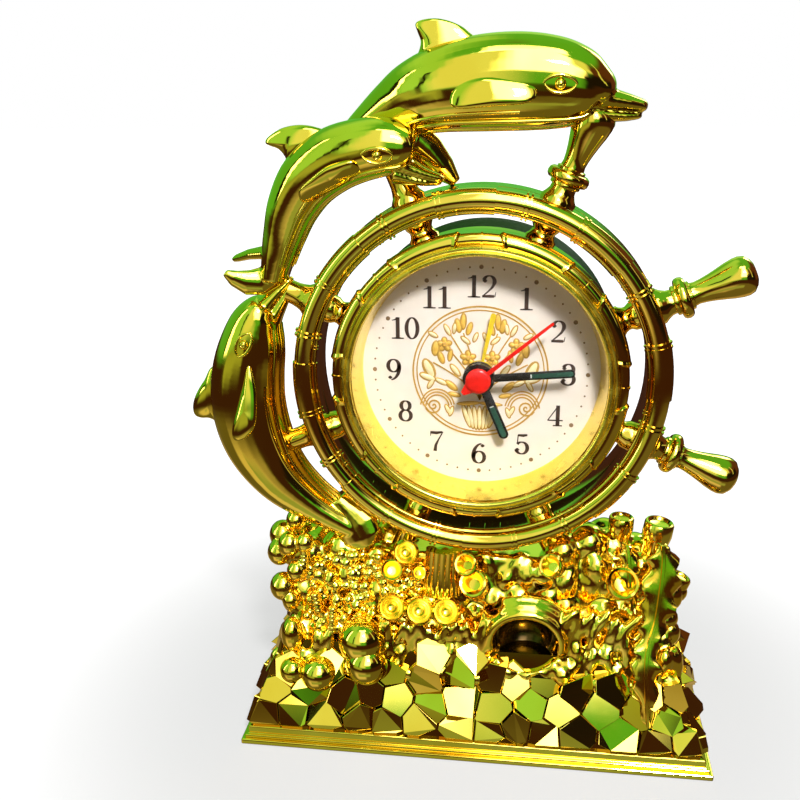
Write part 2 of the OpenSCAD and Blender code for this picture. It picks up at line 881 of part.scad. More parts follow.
function polar(distance, angle) = distance * [cos(angle), sin(angle)];
third_dir = 150;
intermediate_dir = 70;
rotor_dir = 60;
motion_dir = 180;
time_dir = 100;
alarm_dir = 10;
third_at = polar(third_dist, third_dir);
intermediate_at = polar(second_dist, intermediate_dir);
rotor_at = intermediate_at + polar(rotor_dist, rotor_dir);
motion_at = polar(motion_dist, motion_dir);
time_at = motion_at + polar(time_dist, time_dir);
alarm_at = polar(alarm_dist, alarm_dir);

// The angle of a tooth on the second wheel of a pair that puts a gap where the first has a tooth
function meshed(phase, teeth, next_teeth, direction) =
    direction + 180 + 180 / next_teeth - (phase - direction) * teeth / next_teeth;
third_phase = meshed(0, second_pinion_teeth, third_teeth, third_dir);
centre_phase = meshed(third_phase, third_pinion_teeth, centre_teeth, third_dir + 180);
intermediate_phase = meshed(0, second_teeth, intermediate_pinion_teeth, intermediate_dir);
rotor_phase = meshed(intermediate_phase, intermediate_teeth, rotor_teeth, rotor_dir);
motion_phase = meshed(0, cannon_teeth, minute_wheel_teeth, motion_dir);
hour_phase = meshed(motion_phase, minute_pinion_teeth, hour_teeth, motion_dir + 180);
time_phase = meshed(motion_phase, minute_wheel_teeth, set_teeth, time_dir);
alarm_set_phase = meshed(0, alarm_teeth, set_teeth, alarm_dir);

addendum = 0.8;
dedendum = 1.15;
tooth_shares = [[-dedendum, 0.3], [0, 0.2], [addendum, 0.1]];

module gear(teeth, size, low, bore = 0, phase = 0) {
    turn = 360 / teeth;
    pitch_r = size * teeth / 2;
    translate([0, 0, low])
        difference() {
            linear_extrude(gear_t)
                polygon([
                    for (k = [0:teeth - 1], side = [-1, 1], i = [0:2])
                        let (s = tooth_shares[side < 0 ? i : 2 - i])
                        polar(pitch_r + s[0] * size, phase + k * turn + side * s[1] * turn)
                ]);
            if (bore > 0)
                translate([0, 0, -1])
                    cylinder(r = bore, h = gear_t + 2);
        }
}

module at(place) {
    translate([place[0], place[1], 0])
        children();
}

module alarm_wheel() {
    color(white_plastic)
        at_helm() {
            gear(alarm_teeth, coarse, alarm_l, hour_pipe_r + run);
            disc(alarm_pipe_r, alarm_l, alarm_h + hub_t, hour_pipe_r + run);
        }
}

module hour_wheel() {
    color(white_plastic)
        at_helm() {
            gear(hour_teeth, hour_module, hour_l, minute_pipe_r + run, hour_phase);
            disc(hour_pipe_r, hour_l, hour_h + hub_t, minute_pipe_r + run);
        }
}

module minute_wheel() {
    color(white_plastic)
        at_helm()
            at(motion_at) {
                gear(minute_wheel_teeth, coarse, motion_l, pivot_r * 2 + run, motion_phase);
                gear(minute_pinion_teeth, hour_module, hour_l, pivot_r * 2 + run, motion_phase);
                disc(pivot_r * 2 + 0.8, motion_l, hour_l + gear_t, pivot_r * 2 + run);
            }
}

module cannon_pinion() {
    color(steel)
        at_helm() {
            gear(cannon_teeth, coarse, motion_l, second_shaft_r + run);
            disc(minute_pipe_r, centre_l, minute_h + hub_t, second_shaft_r + run);
        }
}

module centre_wheel() {
    color(white_plastic)
        at_helm()
            gear(centre_teeth, centre_module, centre_l, minute_pipe_r + run, centre_phase);
}

module second_wheel() {
    color(white_plastic)
        at_helm() {
            gear(second_pinion_teeth, fine, third_l);
            disc(fine * second_pinion_teeth / 2 - dedendum * fine, second_l, third_l + gear_t);
            gear(second_teeth, fine, second_l);
            disc(second_shaft_r, rear_low, second_h + hub_t);
        }
}

module third_wheel() {
    color(white_plastic)
        at_helm()
            at(third_at) {
                gear(third_pinion_teeth, centre_module, centre_l, 0, third_phase);
                gear(third_teeth, fine, third_l, 0, third_phase);
                disc(pivot_r, rear_low, mid_high);
                disc(pivot_r * 1.5, third_l, centre_l + gear_t);
            }
}

module intermediate_wheel() {
    color(white_plastic)
        at_helm()
            at(intermediate_at) {
                gear(intermediate_pinion_teeth, fine, second_l, 0, intermediate_phase);
                gear(intermediate_teeth, fine, fast_l, 0, intermediate_phase);
                disc(pivot_r, rear_low, mid_high);
                disc(pivot_r * 2, fast_l, second_l + gear_t);
            }
}

module rotor() {
    color(steel)
        at_helm()
            at(rotor_at) {
                gear(rotor_teeth, fine, fast_l, 0, rotor_phase);
                disc(pivot_r, rear_low, mid_high);
                disc(rotor_magnet_r, magnet_low, magnet_high);
                disc(pivot_r * 1.5, magnet_high, fast_l);
            }
}

rotor_magnet_r = 2.4;
stator_gap = 0.5;
stator_t = 1;
coil_at = [0, 23];
coil_len = 15;
coil_r = 2.2;
flange_r = 2.8;
flange_t = 0.8;
stator_low = magnet_low + 0.5;
// Posts that carry the mid plate, and pillars from it to the rear plate
top_post = [0, 18.5];
right_post = [19, 9];
left_post = [-20, 8];
low_pillar = [10, -2];

module mid_plate() {
    color(white_plastic)
        at_helm()
            difference() {
                union() {
                    translate([0, 0, mid_low])
                        linear_extrude(plate_t)
                            hull()
                                for (p = [top_post, right_post, left_post, low_pillar, motion_at / 2])
                                    at(p)
                                        circle(r = 2.4, $fn = 32);
                    for (p = [top_post, right_post, low_pillar])
                        at(p)
                            disc(post_r, rear_high, mid_low);
                }
                disc(minute_pipe_r + run, mid_low - 1, mid_high + 1);
                for (p = [third_at, intermediate_at, rotor_at])
                    at(p)
                        disc(pivot_r + run, mid_low - 1, mid_high + 1);
                for (p = [time_at, alarm_at])
                    at(p)
                        disc(arbor_r + run, mid_low - 1, mid_high + 1);
            }
}

module rear_plate() {
    color(white_plastic)
        at_helm()
            difference() {
                union() {
                    translate([0, 0, rear_low])
                        linear_extrude(rear_high - rear_low)
                            hull()
                                for (p = [top_post, right_post, low_pillar, third_at, [0, -1.6]])
                                    at(p)
                                        circle(r = 2.4, $fn = 32);
                    for (x = [-board_w / 2 + 3, board_w / 2 - 3])
                        at(board_at + [x, -4])
                            disc(post_r, board_high, rear_low);
                }
                disc(second_shaft_r + run, rear_low - 1, rear_high + 1);
                for (p = [third_at, intermediate_at, rotor_at])
                    at(p)
                        disc(pivot_r + run, rear_low - 1, rear_high + 1);
                at(alarm_at)
                    disc(arbor_r + run, rear_low - 1, rear_high + 1);
            }
}

module stator() {
    color(steel)
        at_helm() {
            difference() {
                translate([coil_at[0] - coil_len / 2 - 3, rotor_at[1] - 4.4, stator_low])
                    cube([coil_len + 6, coil_at[1] + 1.5 - rotor_at[1] + 4.4, stator_t]);
                translate([coil_at[0] - coil_len / 2, coil_at[1] - flange_r - 0.6, stator_low - 1])
                    cube([coil_len, 2 * flange_r + 1.2, stator_t + 2]);
                at(rotor_at)
                    disc(rotor_magnet_r + stator_gap, stator_low - 1, stator_low + stator_t + 1);
                at(top_post)
                    disc(post_r + run, stator_low - 1, stator_low + stator_t + 1);
            }
        }
}

module coil() {
    color([0.7, 0.35, 0.15])
        at_helm()
            translate([coil_at[0], coil_at[1], stator_low + stator_t / 2])
                rotate([0, 90, 0]) {
                    cylinder(r = coil_r, h = coil_len - 0.2, center = true);
                    for (side = [-1, 1])
                        translate([0, 0, side * (coil_len / 2 - 0.1 - flange_t / 2)])
                            cylinder(r = flange_r, h = flange_t, center = true);
                }
}

/* Movement cover, cell compartment and what shows at the back */
board_at = [2, 12];
board_w = 20;
board_d = 13;
board_t = 1;
board_high = rear_low - 0.6;
board_low = board_high - board_t;
cover_front = -half_t;
cover_wall = 1.5;
back_r = drum_rear_r - 0.5;
back_in_r = back_r - cover_wall;
cell_r = cell_d / 2;
cell_at = [0, -11.6];
bay_floor = second_l - 0.7;
bay_floor_t = 1;
cell_depth = bay_floor - bay_floor_t - seat - cell_r;
cover_in = cell_depth - cell_r - 0.3;
cover_back = cover_in - cover_wall;
nub_len = 1;
nub_r = 1.9;
contact_t = 0.4;
bay_half_w = (cell_len + nub_len) / 2 + contact_t + 0.6;
bay_half_h = cell_r + 0.2;
bay_wall = 1;
pillar_r = 2.2;
pillar_places = [[21.3, 14.9], [-21.3, 14.9], [8.9, -24.4], [-8.9, -24.4]];
pillar_meet = -12;
case_screw_r = 0.9;
case_head_r = 1.8;
case_head_deep = 2;
case_screw_end = -7;
knob_gap = 0.4;
knob_h = 3.6;
knob_flutes = 12;
flute_r = 0.5;
buzzer_at = [-3, 12];
buzzer_r = 7.6;
buzzer_h = 3.4;
sound_hole_r = 0.8;
slider_at = [10, 17];
slider_w = 4;
slider_h = 2.6;
slider_tab = 1.6;
slider_flange_w = 7.6;
slider_flange_h = 4.6;
slider_flange_t = 1;
finger_r = 1.6;

module movement_case() {
    color(black)
        at_helm()
            difference() {
                union() {
                    disc(case_r, case_in, case_front);
                    disc(case_r, cover_front, case_front, case_in_r);
                    for (p = pillar_places)
                        at(p)
                            disc(pillar_r, pillar_meet, case_in);
                    for (p = [top_post, right_post, left_post])
                        at(p)
                            disc(post_r, mid_high, case_in);
                    at(motion_at)
                        disc(pivot_r * 2, mid_high + 0.2, case_in);
                }
                disc(alarm_pipe_r + run, case_in - 1, case_front + 1);
                for (p = pillar_places)
                    at(p)
                        disc(case_screw_r + run, pillar_meet - 1, case_screw_end + seat);
            }
}

module bay(margin, low, high) {
    translate([cell_at[0] - bay_half_w - margin, cell_at[1] - bay_half_h - margin, low])
        cube([2 * (bay_half_w + margin), 2 * (bay_half_h + margin), high - low]);
}

module movement_cover() {
    color(black)
        at_helm()
            difference() {
                union() {
                    disc(back_r, cover_back, cover_front, back_in_r);
                    disc(back_r - 0.5, cover_back, cover_in);
                    for (p = pillar_places)
                        at(p)
                            disc(pillar_r, cover_back, pillar_meet);
                    intersection() {
                        bay(bay_wall, cover_in, bay_floor);
                        disc(back_r - 0.5, cover_in, bay_floor);
                    }
                }
                bay(0, cover_back - 1, bay_floor - bay_floor_t);
                for (p = pillar_places)
                    at(p) {
                        disc(case_screw_r + seat, cover_back - 1, pillar_meet + 1);
                        disc(case_head_r + seat, cover_back - 1, cover_back + case_head_deep);
                    }
                for (p = [time_at, alarm_at])
                    at(p)
                        disc(arbor_r + run, cover_back - 1, cover_in + 1);
                at(slider_at)
                    translate([-slider_w / 2 - slip, -slider_h / 2 - slip, cover_back - 1])
                        cube([slider_w + slider_travel + 2 * slip, slider_h + 2 * slip, cover_wall + 2]);
                for (k = [0:5])
                    at(buzzer_at + polar(4, 60 * k))
                        disc(sound_hole_r, cover_back - 1, cover_in + 1);
            }
}

module case_screws() {
    color(steel)
        at_helm()
            for (p = pillar_places)
                at(p) {
                    disc(case_head_r, cover_back + 0.4, cover_back + case_head_deep);
                    disc(case_screw_r, cover_back + case_head_deep, case_screw_end);
                }
}

module circuit_board() {
    color([0.1, 0.35, 0.15])
        at_helm()
            at(board_at)
                translate([-board_w / 2, -board_d / 2, board_low])
                    cube([board_w, board_d, board_t]);
}

module buzzer() {
    color(black)
        at_helm()
            at(buzzer_at)
                disc(buzzer_r, cover_in, cover_in + buzzer_h, 1);
}

module cell() {
    color([0.75, 0.2, 0.15])
        at_helm()
            translate([cell_at[0] - nub_len / 2, cell_at[1], cell_depth])
                rotate([0, 90, 0]) {
                    cylinder(r = cell_r, h = cell_len, center = true);
                    translate([0, 0, cell_len / 2])
                        cylinder(r = nub_r, h = nub_len);
                }
}

module contact(side) {
    translate([
        cell_at[0] + side * (bay_half_w - contact_t / 2 - 0.05) - contact_t / 2,
        cell_at[1] - cell_r + 1, cell_depth - cell_r + 1
    ])
        cube([contact_t, cell_d - 2, cell_d - 2]);
    translate([
        cell_at[0] + side * (bay_half_w - contact_t / 2 - 0.35) - contact_t / 2,
        cell_at[1] - 2, cell_depth - 2
    ])
        cube([contact_t, 4, 4]);
}

module positive_contact() {
    color(steel)
        at_helm()
            contact(1);
}

module negative_contact() {
    color(steel)
        at_helm()
            contact(-1);
}

module battery_door() {
    color(black)
        at_helm()
            difference() {
                translate([
                    cell_at[0] - bay_half_w + slip, cell_at[1] - bay_half_h + slip, cover_back
                ])
                    cube([2 * (bay_half_w - slip), 2 * (bay_half_h - slip), cover_wall - 0.2]);
                translate([cell_at[0] + bay_half_w - 5, cell_at[1], cover_back - finger_r * 0.6])
                    rotate([90, 0, 0])
                        cylinder(r = finger_r, h = 7, center = true);
            }
}

// A fluted knob on an arbor that reaches forward to its pinion
module set_knob(place, pinion_low, phase, radius) {
    at_helm()
        at(place) {
            gear(set_teeth, coarse, pinion_low, 0, phase);
            disc(arbor_r, cover_back - knob_gap, pinion_low + gear_t);
            difference() {
                disc(radius, cover_back - knob_gap - knob_h, cover_back - knob_gap);
                for (k = [0:knob_flutes - 1])
                    at(polar(radius + 0.1, k * 360 / knob_flutes))
                        disc(flute_r, cover_back - knob_gap - knob_h - 1, cover_back - knob_gap + 1);
            }
        }
}

module time_set_knob() {
    color(black)
        set_knob(time_at, motion_l, time_phase, time_knob_r);
}

module alarm_set_knob() {
    color(black)
        set_knob(alarm_at, alarm_l, alarm_set_phase, alarm_knob_r);
}

module alarm_slider() {
    color(white_plastic)
        at_helm()
            at(slider_at) {
                translate([-slider_w / 2, -slider_h / 2, cover_back - slider_tab])
                    cube([slider_w, slider_h, slider_tab + cover_wall + 0.3]);
                translate([-slider_flange_w / 2, -slider_flange_h / 2, cover_in + 0.2])
                    cube([slider_flange_w, slider_flange_h, slider_flange_t]);
            }
}

base_cover();
cover_screws();
plinth();
reef(1);  // reef_front
reef(-1);  // reef_rear
helm_front();
helm_rear();
helm_screws();
upper_dolphin(1);  // upper_dolphin_front
upper_dolphin(-1);  // upper_dolphin_rear
middle_dolphin(1);  // middle_dolphin_front
middle_dolphin(-1);  // middle_dolphin_rear
lower_dolphin(1);  // lower_dolphin_front
lower_dolphin(-1);  // lower_dolphin_rear
bezel_ring();
lens();
dial();
alarm_hand();
hour_hand();
minute_hand();
second_hand();
movement_case();
movement_cover();
case_screws();
mid_plate();
rear_plate();
alarm_wheel();
hour_wheel();
minute_wheel();
cannon_pinion();
centre_wheel();
second_wheel();
third_wheel();
intermediate_wheel();
rotor();
stator();
coil();
circuit_board();
buzzer();
cell();
positive_contact();
negative_contact();
battery_door();
time_set_knob();
alarm_set_knob();
alarm_slider();
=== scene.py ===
import math
import random

import bpy
from mathutils import Matrix, Vector


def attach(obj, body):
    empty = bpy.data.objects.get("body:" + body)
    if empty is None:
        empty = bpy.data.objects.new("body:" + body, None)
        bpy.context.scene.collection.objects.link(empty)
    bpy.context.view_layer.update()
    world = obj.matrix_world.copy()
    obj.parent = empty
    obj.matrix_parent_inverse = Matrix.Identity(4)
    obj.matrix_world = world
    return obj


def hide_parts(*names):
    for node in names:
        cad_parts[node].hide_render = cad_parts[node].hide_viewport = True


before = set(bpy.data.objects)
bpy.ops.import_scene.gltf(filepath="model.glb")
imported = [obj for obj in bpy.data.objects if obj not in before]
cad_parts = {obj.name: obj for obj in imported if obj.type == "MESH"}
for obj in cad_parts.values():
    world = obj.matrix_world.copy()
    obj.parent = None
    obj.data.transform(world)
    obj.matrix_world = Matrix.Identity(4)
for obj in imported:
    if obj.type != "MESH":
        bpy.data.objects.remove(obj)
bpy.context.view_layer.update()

# Bottom cover and plinth
# The bottom cover is a thin plate screwed up into the reef, and the plinth is a stepped frame on it.
# Both are injection moulded and vacuum plated in bright gold, with slightly rounded edges.
MM = 0.001
COVER_W, COVER_D, COVER_T, COVER_ROUND = 111.0, 48.0, 1.4, 0.35
PLINTH_STEP, PLINTH_BEAD, PLINTH_RISE, PLINTH_ROUND = 0.8, 0.8, 1.9, 0.22
PLINTH_SLOPE, PLINTH_SLOPE_IN = 0.5, 1.2
PLINTH_TOP = COVER_T + PLINTH_BEAD + PLINTH_RISE + PLINTH_SLOPE
GOLD_LIGHT, GOLD_DEEP = (0.86, 0.62, 0.10), (0.78, 0.52, 0.06)
PEEL_H = 0.4


def fresh():
    """Leaves edit mode and clears the selection, so that the next operator acts on its own piece only."""
    if bpy.context.object and bpy.context.object.mode != "OBJECT":
        bpy.ops.object.mode_set(mode="OBJECT")
    bpy.ops.object.select_all(action="DESELECT")


def take(piece):
    """Makes a piece the only selected and active one."""
    fresh()
    piece.select_set(True)
    bpy.context.view_layer.objects.active = piece
    return piece


def settle(piece, name):
    """Names a piece and puts its place, turn and size into its mesh."""
    take(piece)
    bpy.ops.object.transform_apply(location=True, rotation=True, scale=True)
    piece.name = name
    piece.data.name = name
    return piece


def modify(piece, kind, **settings):
    """Adds a modifier with its settings and applies it."""
    take(piece)
    modifier = piece.modifiers.new(kind.title(), kind)
    for key, value in settings.items():
        setattr(modifier, key, value)
    bpy.ops.object.modifier_apply(modifier=modifier.name)
    return piece


def pick_faces(piece, wanted):
    """Enters edit mode with only the faces selected whose centre and normal are wanted."""
    take(piece)
    bpy.ops.object.mode_set(mode="EDIT")
    bpy.ops.mesh.select_mode(type="FACE")
    bpy.ops.mesh.select_all(action="DESELECT")
    bpy.ops.object.mode_set(mode="OBJECT")
    for face in piece.data.polygons:
        face.select = wanted(face.center, face.normal)
    bpy.ops.object.mode_set(mode="EDIT")


def faces_up(centre, normal):
    """Whether a face looks straight up."""
    return normal.z > 0.9


def block(name, low, high):
    """A cube at its size and place, in millimetres."""
    fresh()
    bpy.ops.mesh.primitive_cube_add(size=1, location=[(a + b) / 2 * MM for a, b in zip(low, high)])
    bpy.context.object.scale = [(b - a) * MM for a, b in zip(low, high)]
    return settle(bpy.context.object, name)


def feed(tree, node, values):
    """Sets a shader node's inputs: a number or colour is set, and another node's output is linked."""
    for key, value in values.items():
        if isinstance(value, bpy.types.NodeSocket):
            tree.links.new(value, node.inputs[key])
        else:
            node.inputs[key].default_value = value
    return node


def shader_node(tree, kind, values=None, **settings):
    """A new shader node with its settings and its inputs."""
    node = tree.nodes.new("ShaderNode" + kind)
    for key, value in settings.items():
        setattr(node, key, value)
    return feed(tree, node, values or {})


def noise(tree, scale, detail):
    """Soft noise through a piece, by its own coordinates."""
    place = shader_node(tree, "TexCoord").outputs["Object"]
    return shader_node(tree, "TexNoise", {"Vector": place, "Scale": scale, "Detail": detail}).outputs["Fac"]


def two_tone(tree, value, low, low_colour, high, high_colour):
    """Runs from one colour to another while a value rises from low to high."""
    node = shader_node(tree, "ValToRGB", {"Fac": value})
    for stop, position, colour in zip(node.color_ramp.elements, (low, high), (low_colour, high_colour)):
        stop.position = position
        stop.color = (*colour, 1)
    return node.outputs["Color"]


def rescale(tree, value, low, high, to_low, to_high):
    """Sets a value over from one range to another."""
    ranges = {"From Min": low, "From Max": high, "To Min": to_low, "To Max": to_high}
    return shader_node(tree, "MapRange", {"Value": value, **ranges}).outputs["Result"]


def new_finish(name):
    """A new material, its node tree and its surface shader."""
    finish = bpy.data.materials.new(name)
    finish.use_nodes = True
    return finish, finish.node_tree, finish.node_tree.nodes["Principled BSDF"]


def plating(name, light, deep, rough, peel):
    """A bright metal or plated face: two close tones drift over it and over the faint orange peel below."""
    finish, tree, shader = new_finish(name)
    ripple = {"Height": noise(tree, scale=420.0, detail=2.0), "Strength": peel, "Distance": PEEL_H * MM}
    feed(tree, shader, {
        "Metallic": 1.0,
        "Base Color": two_tone(tree, noise(tree, scale=55.0, detail=3.0), 0.36, deep, 0.62, light),
        "Roughness": rescale(tree, noise(tree, scale=240.0, detail=4.0), 0.3, 0.7, rough * 0.6, rough * 1.6),
        "Normal": shader_node(tree, "Bump", ripple).outputs["Normal"],
    })
    return finish


def finish_piece(piece, finish):
    """Gives a piece one finish all over."""
    piece.data.materials.clear()
    piece.data.materials.append(finish)
    return piece


def dress(piece, finish, *nodes):
    """Gives a gold piece its finish, fixes it to the clock and lets it stand for its CAD nodes."""
    finish_piece(piece, finish)
    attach(piece, "clock")
    if nodes:
        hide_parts(*nodes)
    return piece


plinth_gold = plating("plinth_gold", GOLD_LIGHT, GOLD_DEEP, rough=0.07, peel=0.0)
bottom_cover = block("bottom_cover", (-COVER_W / 2, -COVER_D / 2, 0), (COVER_W / 2, COVER_D / 2, COVER_T))
modify(bottom_cover, "BEVEL", width=COVER_ROUND * MM, segments=3, limit_method="ANGLE")
dress(bottom_cover, plinth_gold, "base_cover")

plinth_w, plinth_d = COVER_W - 2 * PLINTH_STEP, COVER_D - 2 * PLINTH_STEP
plinth_frame = block("plinth_frame", (-plinth_w / 2, -plinth_d / 2, COVER_T),
                     (plinth_w / 2, plinth_d / 2, COVER_T + PLINTH_BEAD))
pick_faces(plinth_frame, faces_up)
bpy.ops.mesh.inset(thickness=PLINTH_STEP * MM)
bpy.ops.mesh.extrude_region_move(TRANSFORM_OT_translate={"value": (0, 0, PLINTH_RISE * MM)})
bpy.ops.mesh.extrude_region_move(TRANSFORM_OT_translate={"value": (0, 0, PLINTH_SLOPE * MM)})
skirt_w, skirt_d = plinth_w - 2 * PLINTH_STEP, plinth_d - 2 * PLINTH_STEP
bpy.ops.transform.resize(value=(1 - 2 * PLINTH_SLOPE_IN / skirt_w, 1 - 2 * PLINTH_SLOPE_IN / skirt_d, 1))
fresh()
modify(plinth_frame, "BEVEL", width=PLINTH_ROUND * MM, segments=3, limit_method="ANGLE")
dress(plinth_frame, plinth_gold, "plinth")

# Skirt of cut stones
# The foot of the reef is a sloping skirt covered with close-set stones, each cut into flat facets.
# It is part of the reef's two mouldings; every facet is a flat, bright mirror of plated gold.
WAIST_Z, SKIRT_IN_W, SKIRT_IN_D, STONE_SINK, BED_IN = 25.0, 16.0, 12.0, 1.0, 1.0
waist_w, waist_d = skirt_w - SKIRT_IN_W, skirt_d - SKIRT_IN_D
STONE_PITCH, STONE_ROW, STONE_JITTER, STONE_GAP, STONE_EDGE = 7.6, 6.0, 2.1, 0.05, 0.28
STONE_BLANK, STONE_REACH, STONE_OVERLAP, STONE_TAPER = 18.0, 17.0, 1.5, 0.95
STONE_H, SLANT_ACROSS, SLANT_UP = (1.4, 2.2), (-0.5, 0.5), (-0.62, 0.22)
FACET_LOW, FACET_HIGH, FACET_RISE = 0.3, 1.6, 0.31
stone_gold = plating("stone_gold", GOLD_LIGHT, GOLD_DEEP, rough=0.05, peel=0.0)
chance = random.Random(7)


def cut_stone(seed_point, others, bounds):
    """One stone on the flat: a plane cut back to its cell by its neighbours, raised, its top slanted."""
    fresh()
    u, v = seed_point
    bpy.ops.mesh.primitive_plane_add(size=STONE_BLANK * MM, location=(u * MM, v * MM, 0))
    stone = settle(bpy.context.object, "stone")
    bpy.ops.object.mode_set(mode="EDIT")
    cuts = []
    for other in others:
        away = Vector((other[0] - u, other[1] - v))
        if 0 < away.length < STONE_REACH:
            cuts.append((((u + other[0]) / 2, (v + other[1]) / 2), away.normalized(), STONE_GAP))
    for point, normal in bounds:
        cuts.append((point, Vector(normal), 0.0))
    for point, normal, gap in cuts:
        bpy.ops.mesh.select_all(action="SELECT")
        bpy.ops.mesh.bisect(
            plane_co=((point[0] - normal.x * gap) * MM, (point[1] - normal.y * gap) * MM, 0),
            plane_no=(normal.x, normal.y, 0), clear_outer=True)
    bpy.ops.mesh.select_all(action="SELECT")
    height = chance.uniform(*STONE_H)
    across, upwards = chance.uniform(*SLANT_ACROSS), chance.uniform(*SLANT_UP)
    bpy.ops.mesh.extrude_region_move(TRANSFORM_OT_translate={"value": (0, 0, height * MM)})
    bpy.ops.transform.resize(value=(STONE_TAPER, STONE_TAPER, 1))
    bpy.ops.object.mode_set(mode="OBJECT")
    top = [p for p in stone.data.vertices if p.co.z > height / 2 * MM]
    if top:
        middle = sum((p.co for p in top), Vector()) / len(top)
        for point in top:
            slant = (point.co.x - middle.x) * across + (point.co.y - middle.y) * upwards
            highest = FACET_HIGH * MM + FACET_RISE * max(point.co.y, 0.0)
            point.co.z = min(max(point.co.z + slant, FACET_LOW * MM), highest)
    return stone


def stone_side(turn, foot_len, waist_len, foot_out, waist_out):
    """The stones of one sloping side, set on the flat and then leant against the skirt."""
    rise = WAIST_Z - PLINTH_TOP
    slope_len = math.hypot(rise, foot_out - waist_out)
    lean = math.atan2(rise, foot_out - waist_out)
    spots = []
    for row in range(-1, int(slope_len / STONE_ROW) + 2):
        for k in range(int(foot_len / STONE_PITCH) + 3):
            u = -foot_len / 2 + (k + (row % 2) / 2 - 0.5) * STONE_PITCH + chance.uniform(-1, 1) * STONE_JITTER
            v = (row + 0.5) * STONE_ROW + chance.uniform(-1, 1) * STONE_JITTER * 0.8
            spots.append((u, v))
    edge = Vector((slope_len, -(waist_len - foot_len) / 2)).normalized()
    bounds = [((0, 0.15), (0, -1)), ((foot_len / 2, 0), (edge.x, edge.y)),
              ((-foot_len / 2, 0), (-edge.x, edge.y))]
    place = (Matrix.Rotation(math.radians(turn), 4, "Z")
             @ Matrix.Translation((0, -(foot_out - STONE_SINK) * MM, PLINTH_TOP * MM))
             @ Matrix.Rotation(lean, 4, "X"))
    stones = []
    for spot in spots:
        half = foot_len / 2 + (waist_len - foot_len) / 2 * spot[1] / slope_len
        crest = slope_len * (0.9 + 0.1 * math.sin(0.23 * spot[0] + 2.2) + 0.1 * math.sin(0.51 * spot[0]))
        if abs(spot[0]) < half + STONE_OVERLAP and -STONE_OVERLAP < spot[1] < crest:
            stone = cut_stone(spot, [s for s in spots if s != spot], bounds)
            if stone.data.polygons:
                stone.matrix_world = place
                stones.append(settle(stone, "stone"))
            else:
                bpy.data.objects.remove(stone)
    return stones


def join(pieces, name):
    """Joins pieces into the first of them."""
    fresh()
    for piece in pieces:
        piece.select_set(True)
    bpy.context.view_layer.objects.active = pieces[0]
    bpy.ops.object.join()
    return settle(pieces[0], name)


long_side = (skirt_w, waist_w, skirt_d / 2, waist_d / 2)
short_side = (skirt_d, waist_d, skirt_w / 2, waist_w / 2)
stones = []
for turn, side in ((0, long_side), (180, long_side), (90, short_side), (-90, short_side)):
    stones += stone_side(turn, *side)
skirt_stones = join(stones, "skirt_stones")
modify(skirt_stones, "BEVEL", width=STONE_EDGE * MM, segments=1, limit_method="ANGLE",
       angle_limit=math.radians(8))
dress(skirt_stones, stone_gold)

bed_w, bed_d = skirt_w - 2 * BED_IN, skirt_d - 2 * BED_IN
skirt_bed = block("skirt_bed", (-bed_w / 2, -bed_d / 2, PLINTH_TOP - 0.3), (bed_w / 2, bed_d / 2, WAIST_Z))
pick_faces(skirt_bed, faces_up)
bpy.ops.transform.resize(value=((waist_w - 2 * BED_IN) / bed_w, (waist_d - 2 * BED_IN) / bed_d, 1))
fresh()
dress(skirt_bed, stone_gold)

# Reef rock
# Above the stones the reef is a mound of rounded rock with a cave in its front, moulded hollow in two halves.
# Its lumps and folds run into each other, so the mound is one skin of plated gold.
CROWN_Z, CORE_IN_W, CORE_IN_D, CROWN_IN_D = 46.5, 8.0, 7.0, 9.0
CAVE_X, CAVE_Z, CAVE_R, CAVE_FLAT = 12.0, 28.0, 7.6, 0.86
SMALL_CAVE, SMALL_CAVE_R = (3.8, -14, 36.8), 2.7
REEF_VOXEL, ROCK_ROWS, ROCK_ROW_H, ROCK_COUNT, FOLD_PITCH = 0.5, 5, 4.3, 14, 2.1
ROCK_RADII, ROCK_STRETCH, ROCK_LEAN, ROCK_SINK = (2.4, 3.9), (0.7, 1.7), (-0.5, 0.5), 2.6
END_ROCK_RADII, END_ROCK_STRETCH, END_ROCK_Y = (3.2, 4.4), (0.8, 1.3), (-9, -3, 3, 9)
CAVE_LUMPS, CAVE_LUMP_X, CAVE_LUMP_Z, CAVE_LUMP_R = 9, 4.0, 20.5, 2.0
END_LUMPS, END_LUMP_Z, END_LUMP_RADII, END_LUMP_STRETCH = 7, (22, 27), (2.2, 3.2), (1.1, 1.7)
LEFT_FOLDS, LEFT_FOLD_X, LEFT_FOLD_Z, LEFT_FOLD_R, LEFT_FOLD_STRETCH = 13, -22, 27, 1.25, (3.2, 4.6)
RIGHT_FOLDS, RIGHT_FOLD_X, RIGHT_FOLD_Z, RIGHT_FOLD_R, RIGHT_FOLD_STRETCH = 9, 21, 32, 1.5, (2.4, 3.8)
FOLD_SWAY, RIGHT_FOLD_LEAN = (-0.3, 0.3), 0.45
RIDGE_BALLS, RIDGE_START, RIDGE_SWEEP = 30, -14, 208
# x, y, z and radius of the rocks that top the crown
CROWN_ROCKS = ((20, -5, 47, 4.4), (26, -3, 48.5, 4.6), (32, -1, 46.5, 4.8), (24, 2, 47, 4.6),
               (30, 4, 47, 4.4), (37, 1, 45, 4.4), (-22, 0, 46, 4.2), (-29, 3, 47, 4.8), (-36, 0, 46, 4.6),
               (-33, -5, 45, 4.2), (-18, 4, 45.5, 4), (40, -4, 42, 3.8), (-40, 3, 44, 4))
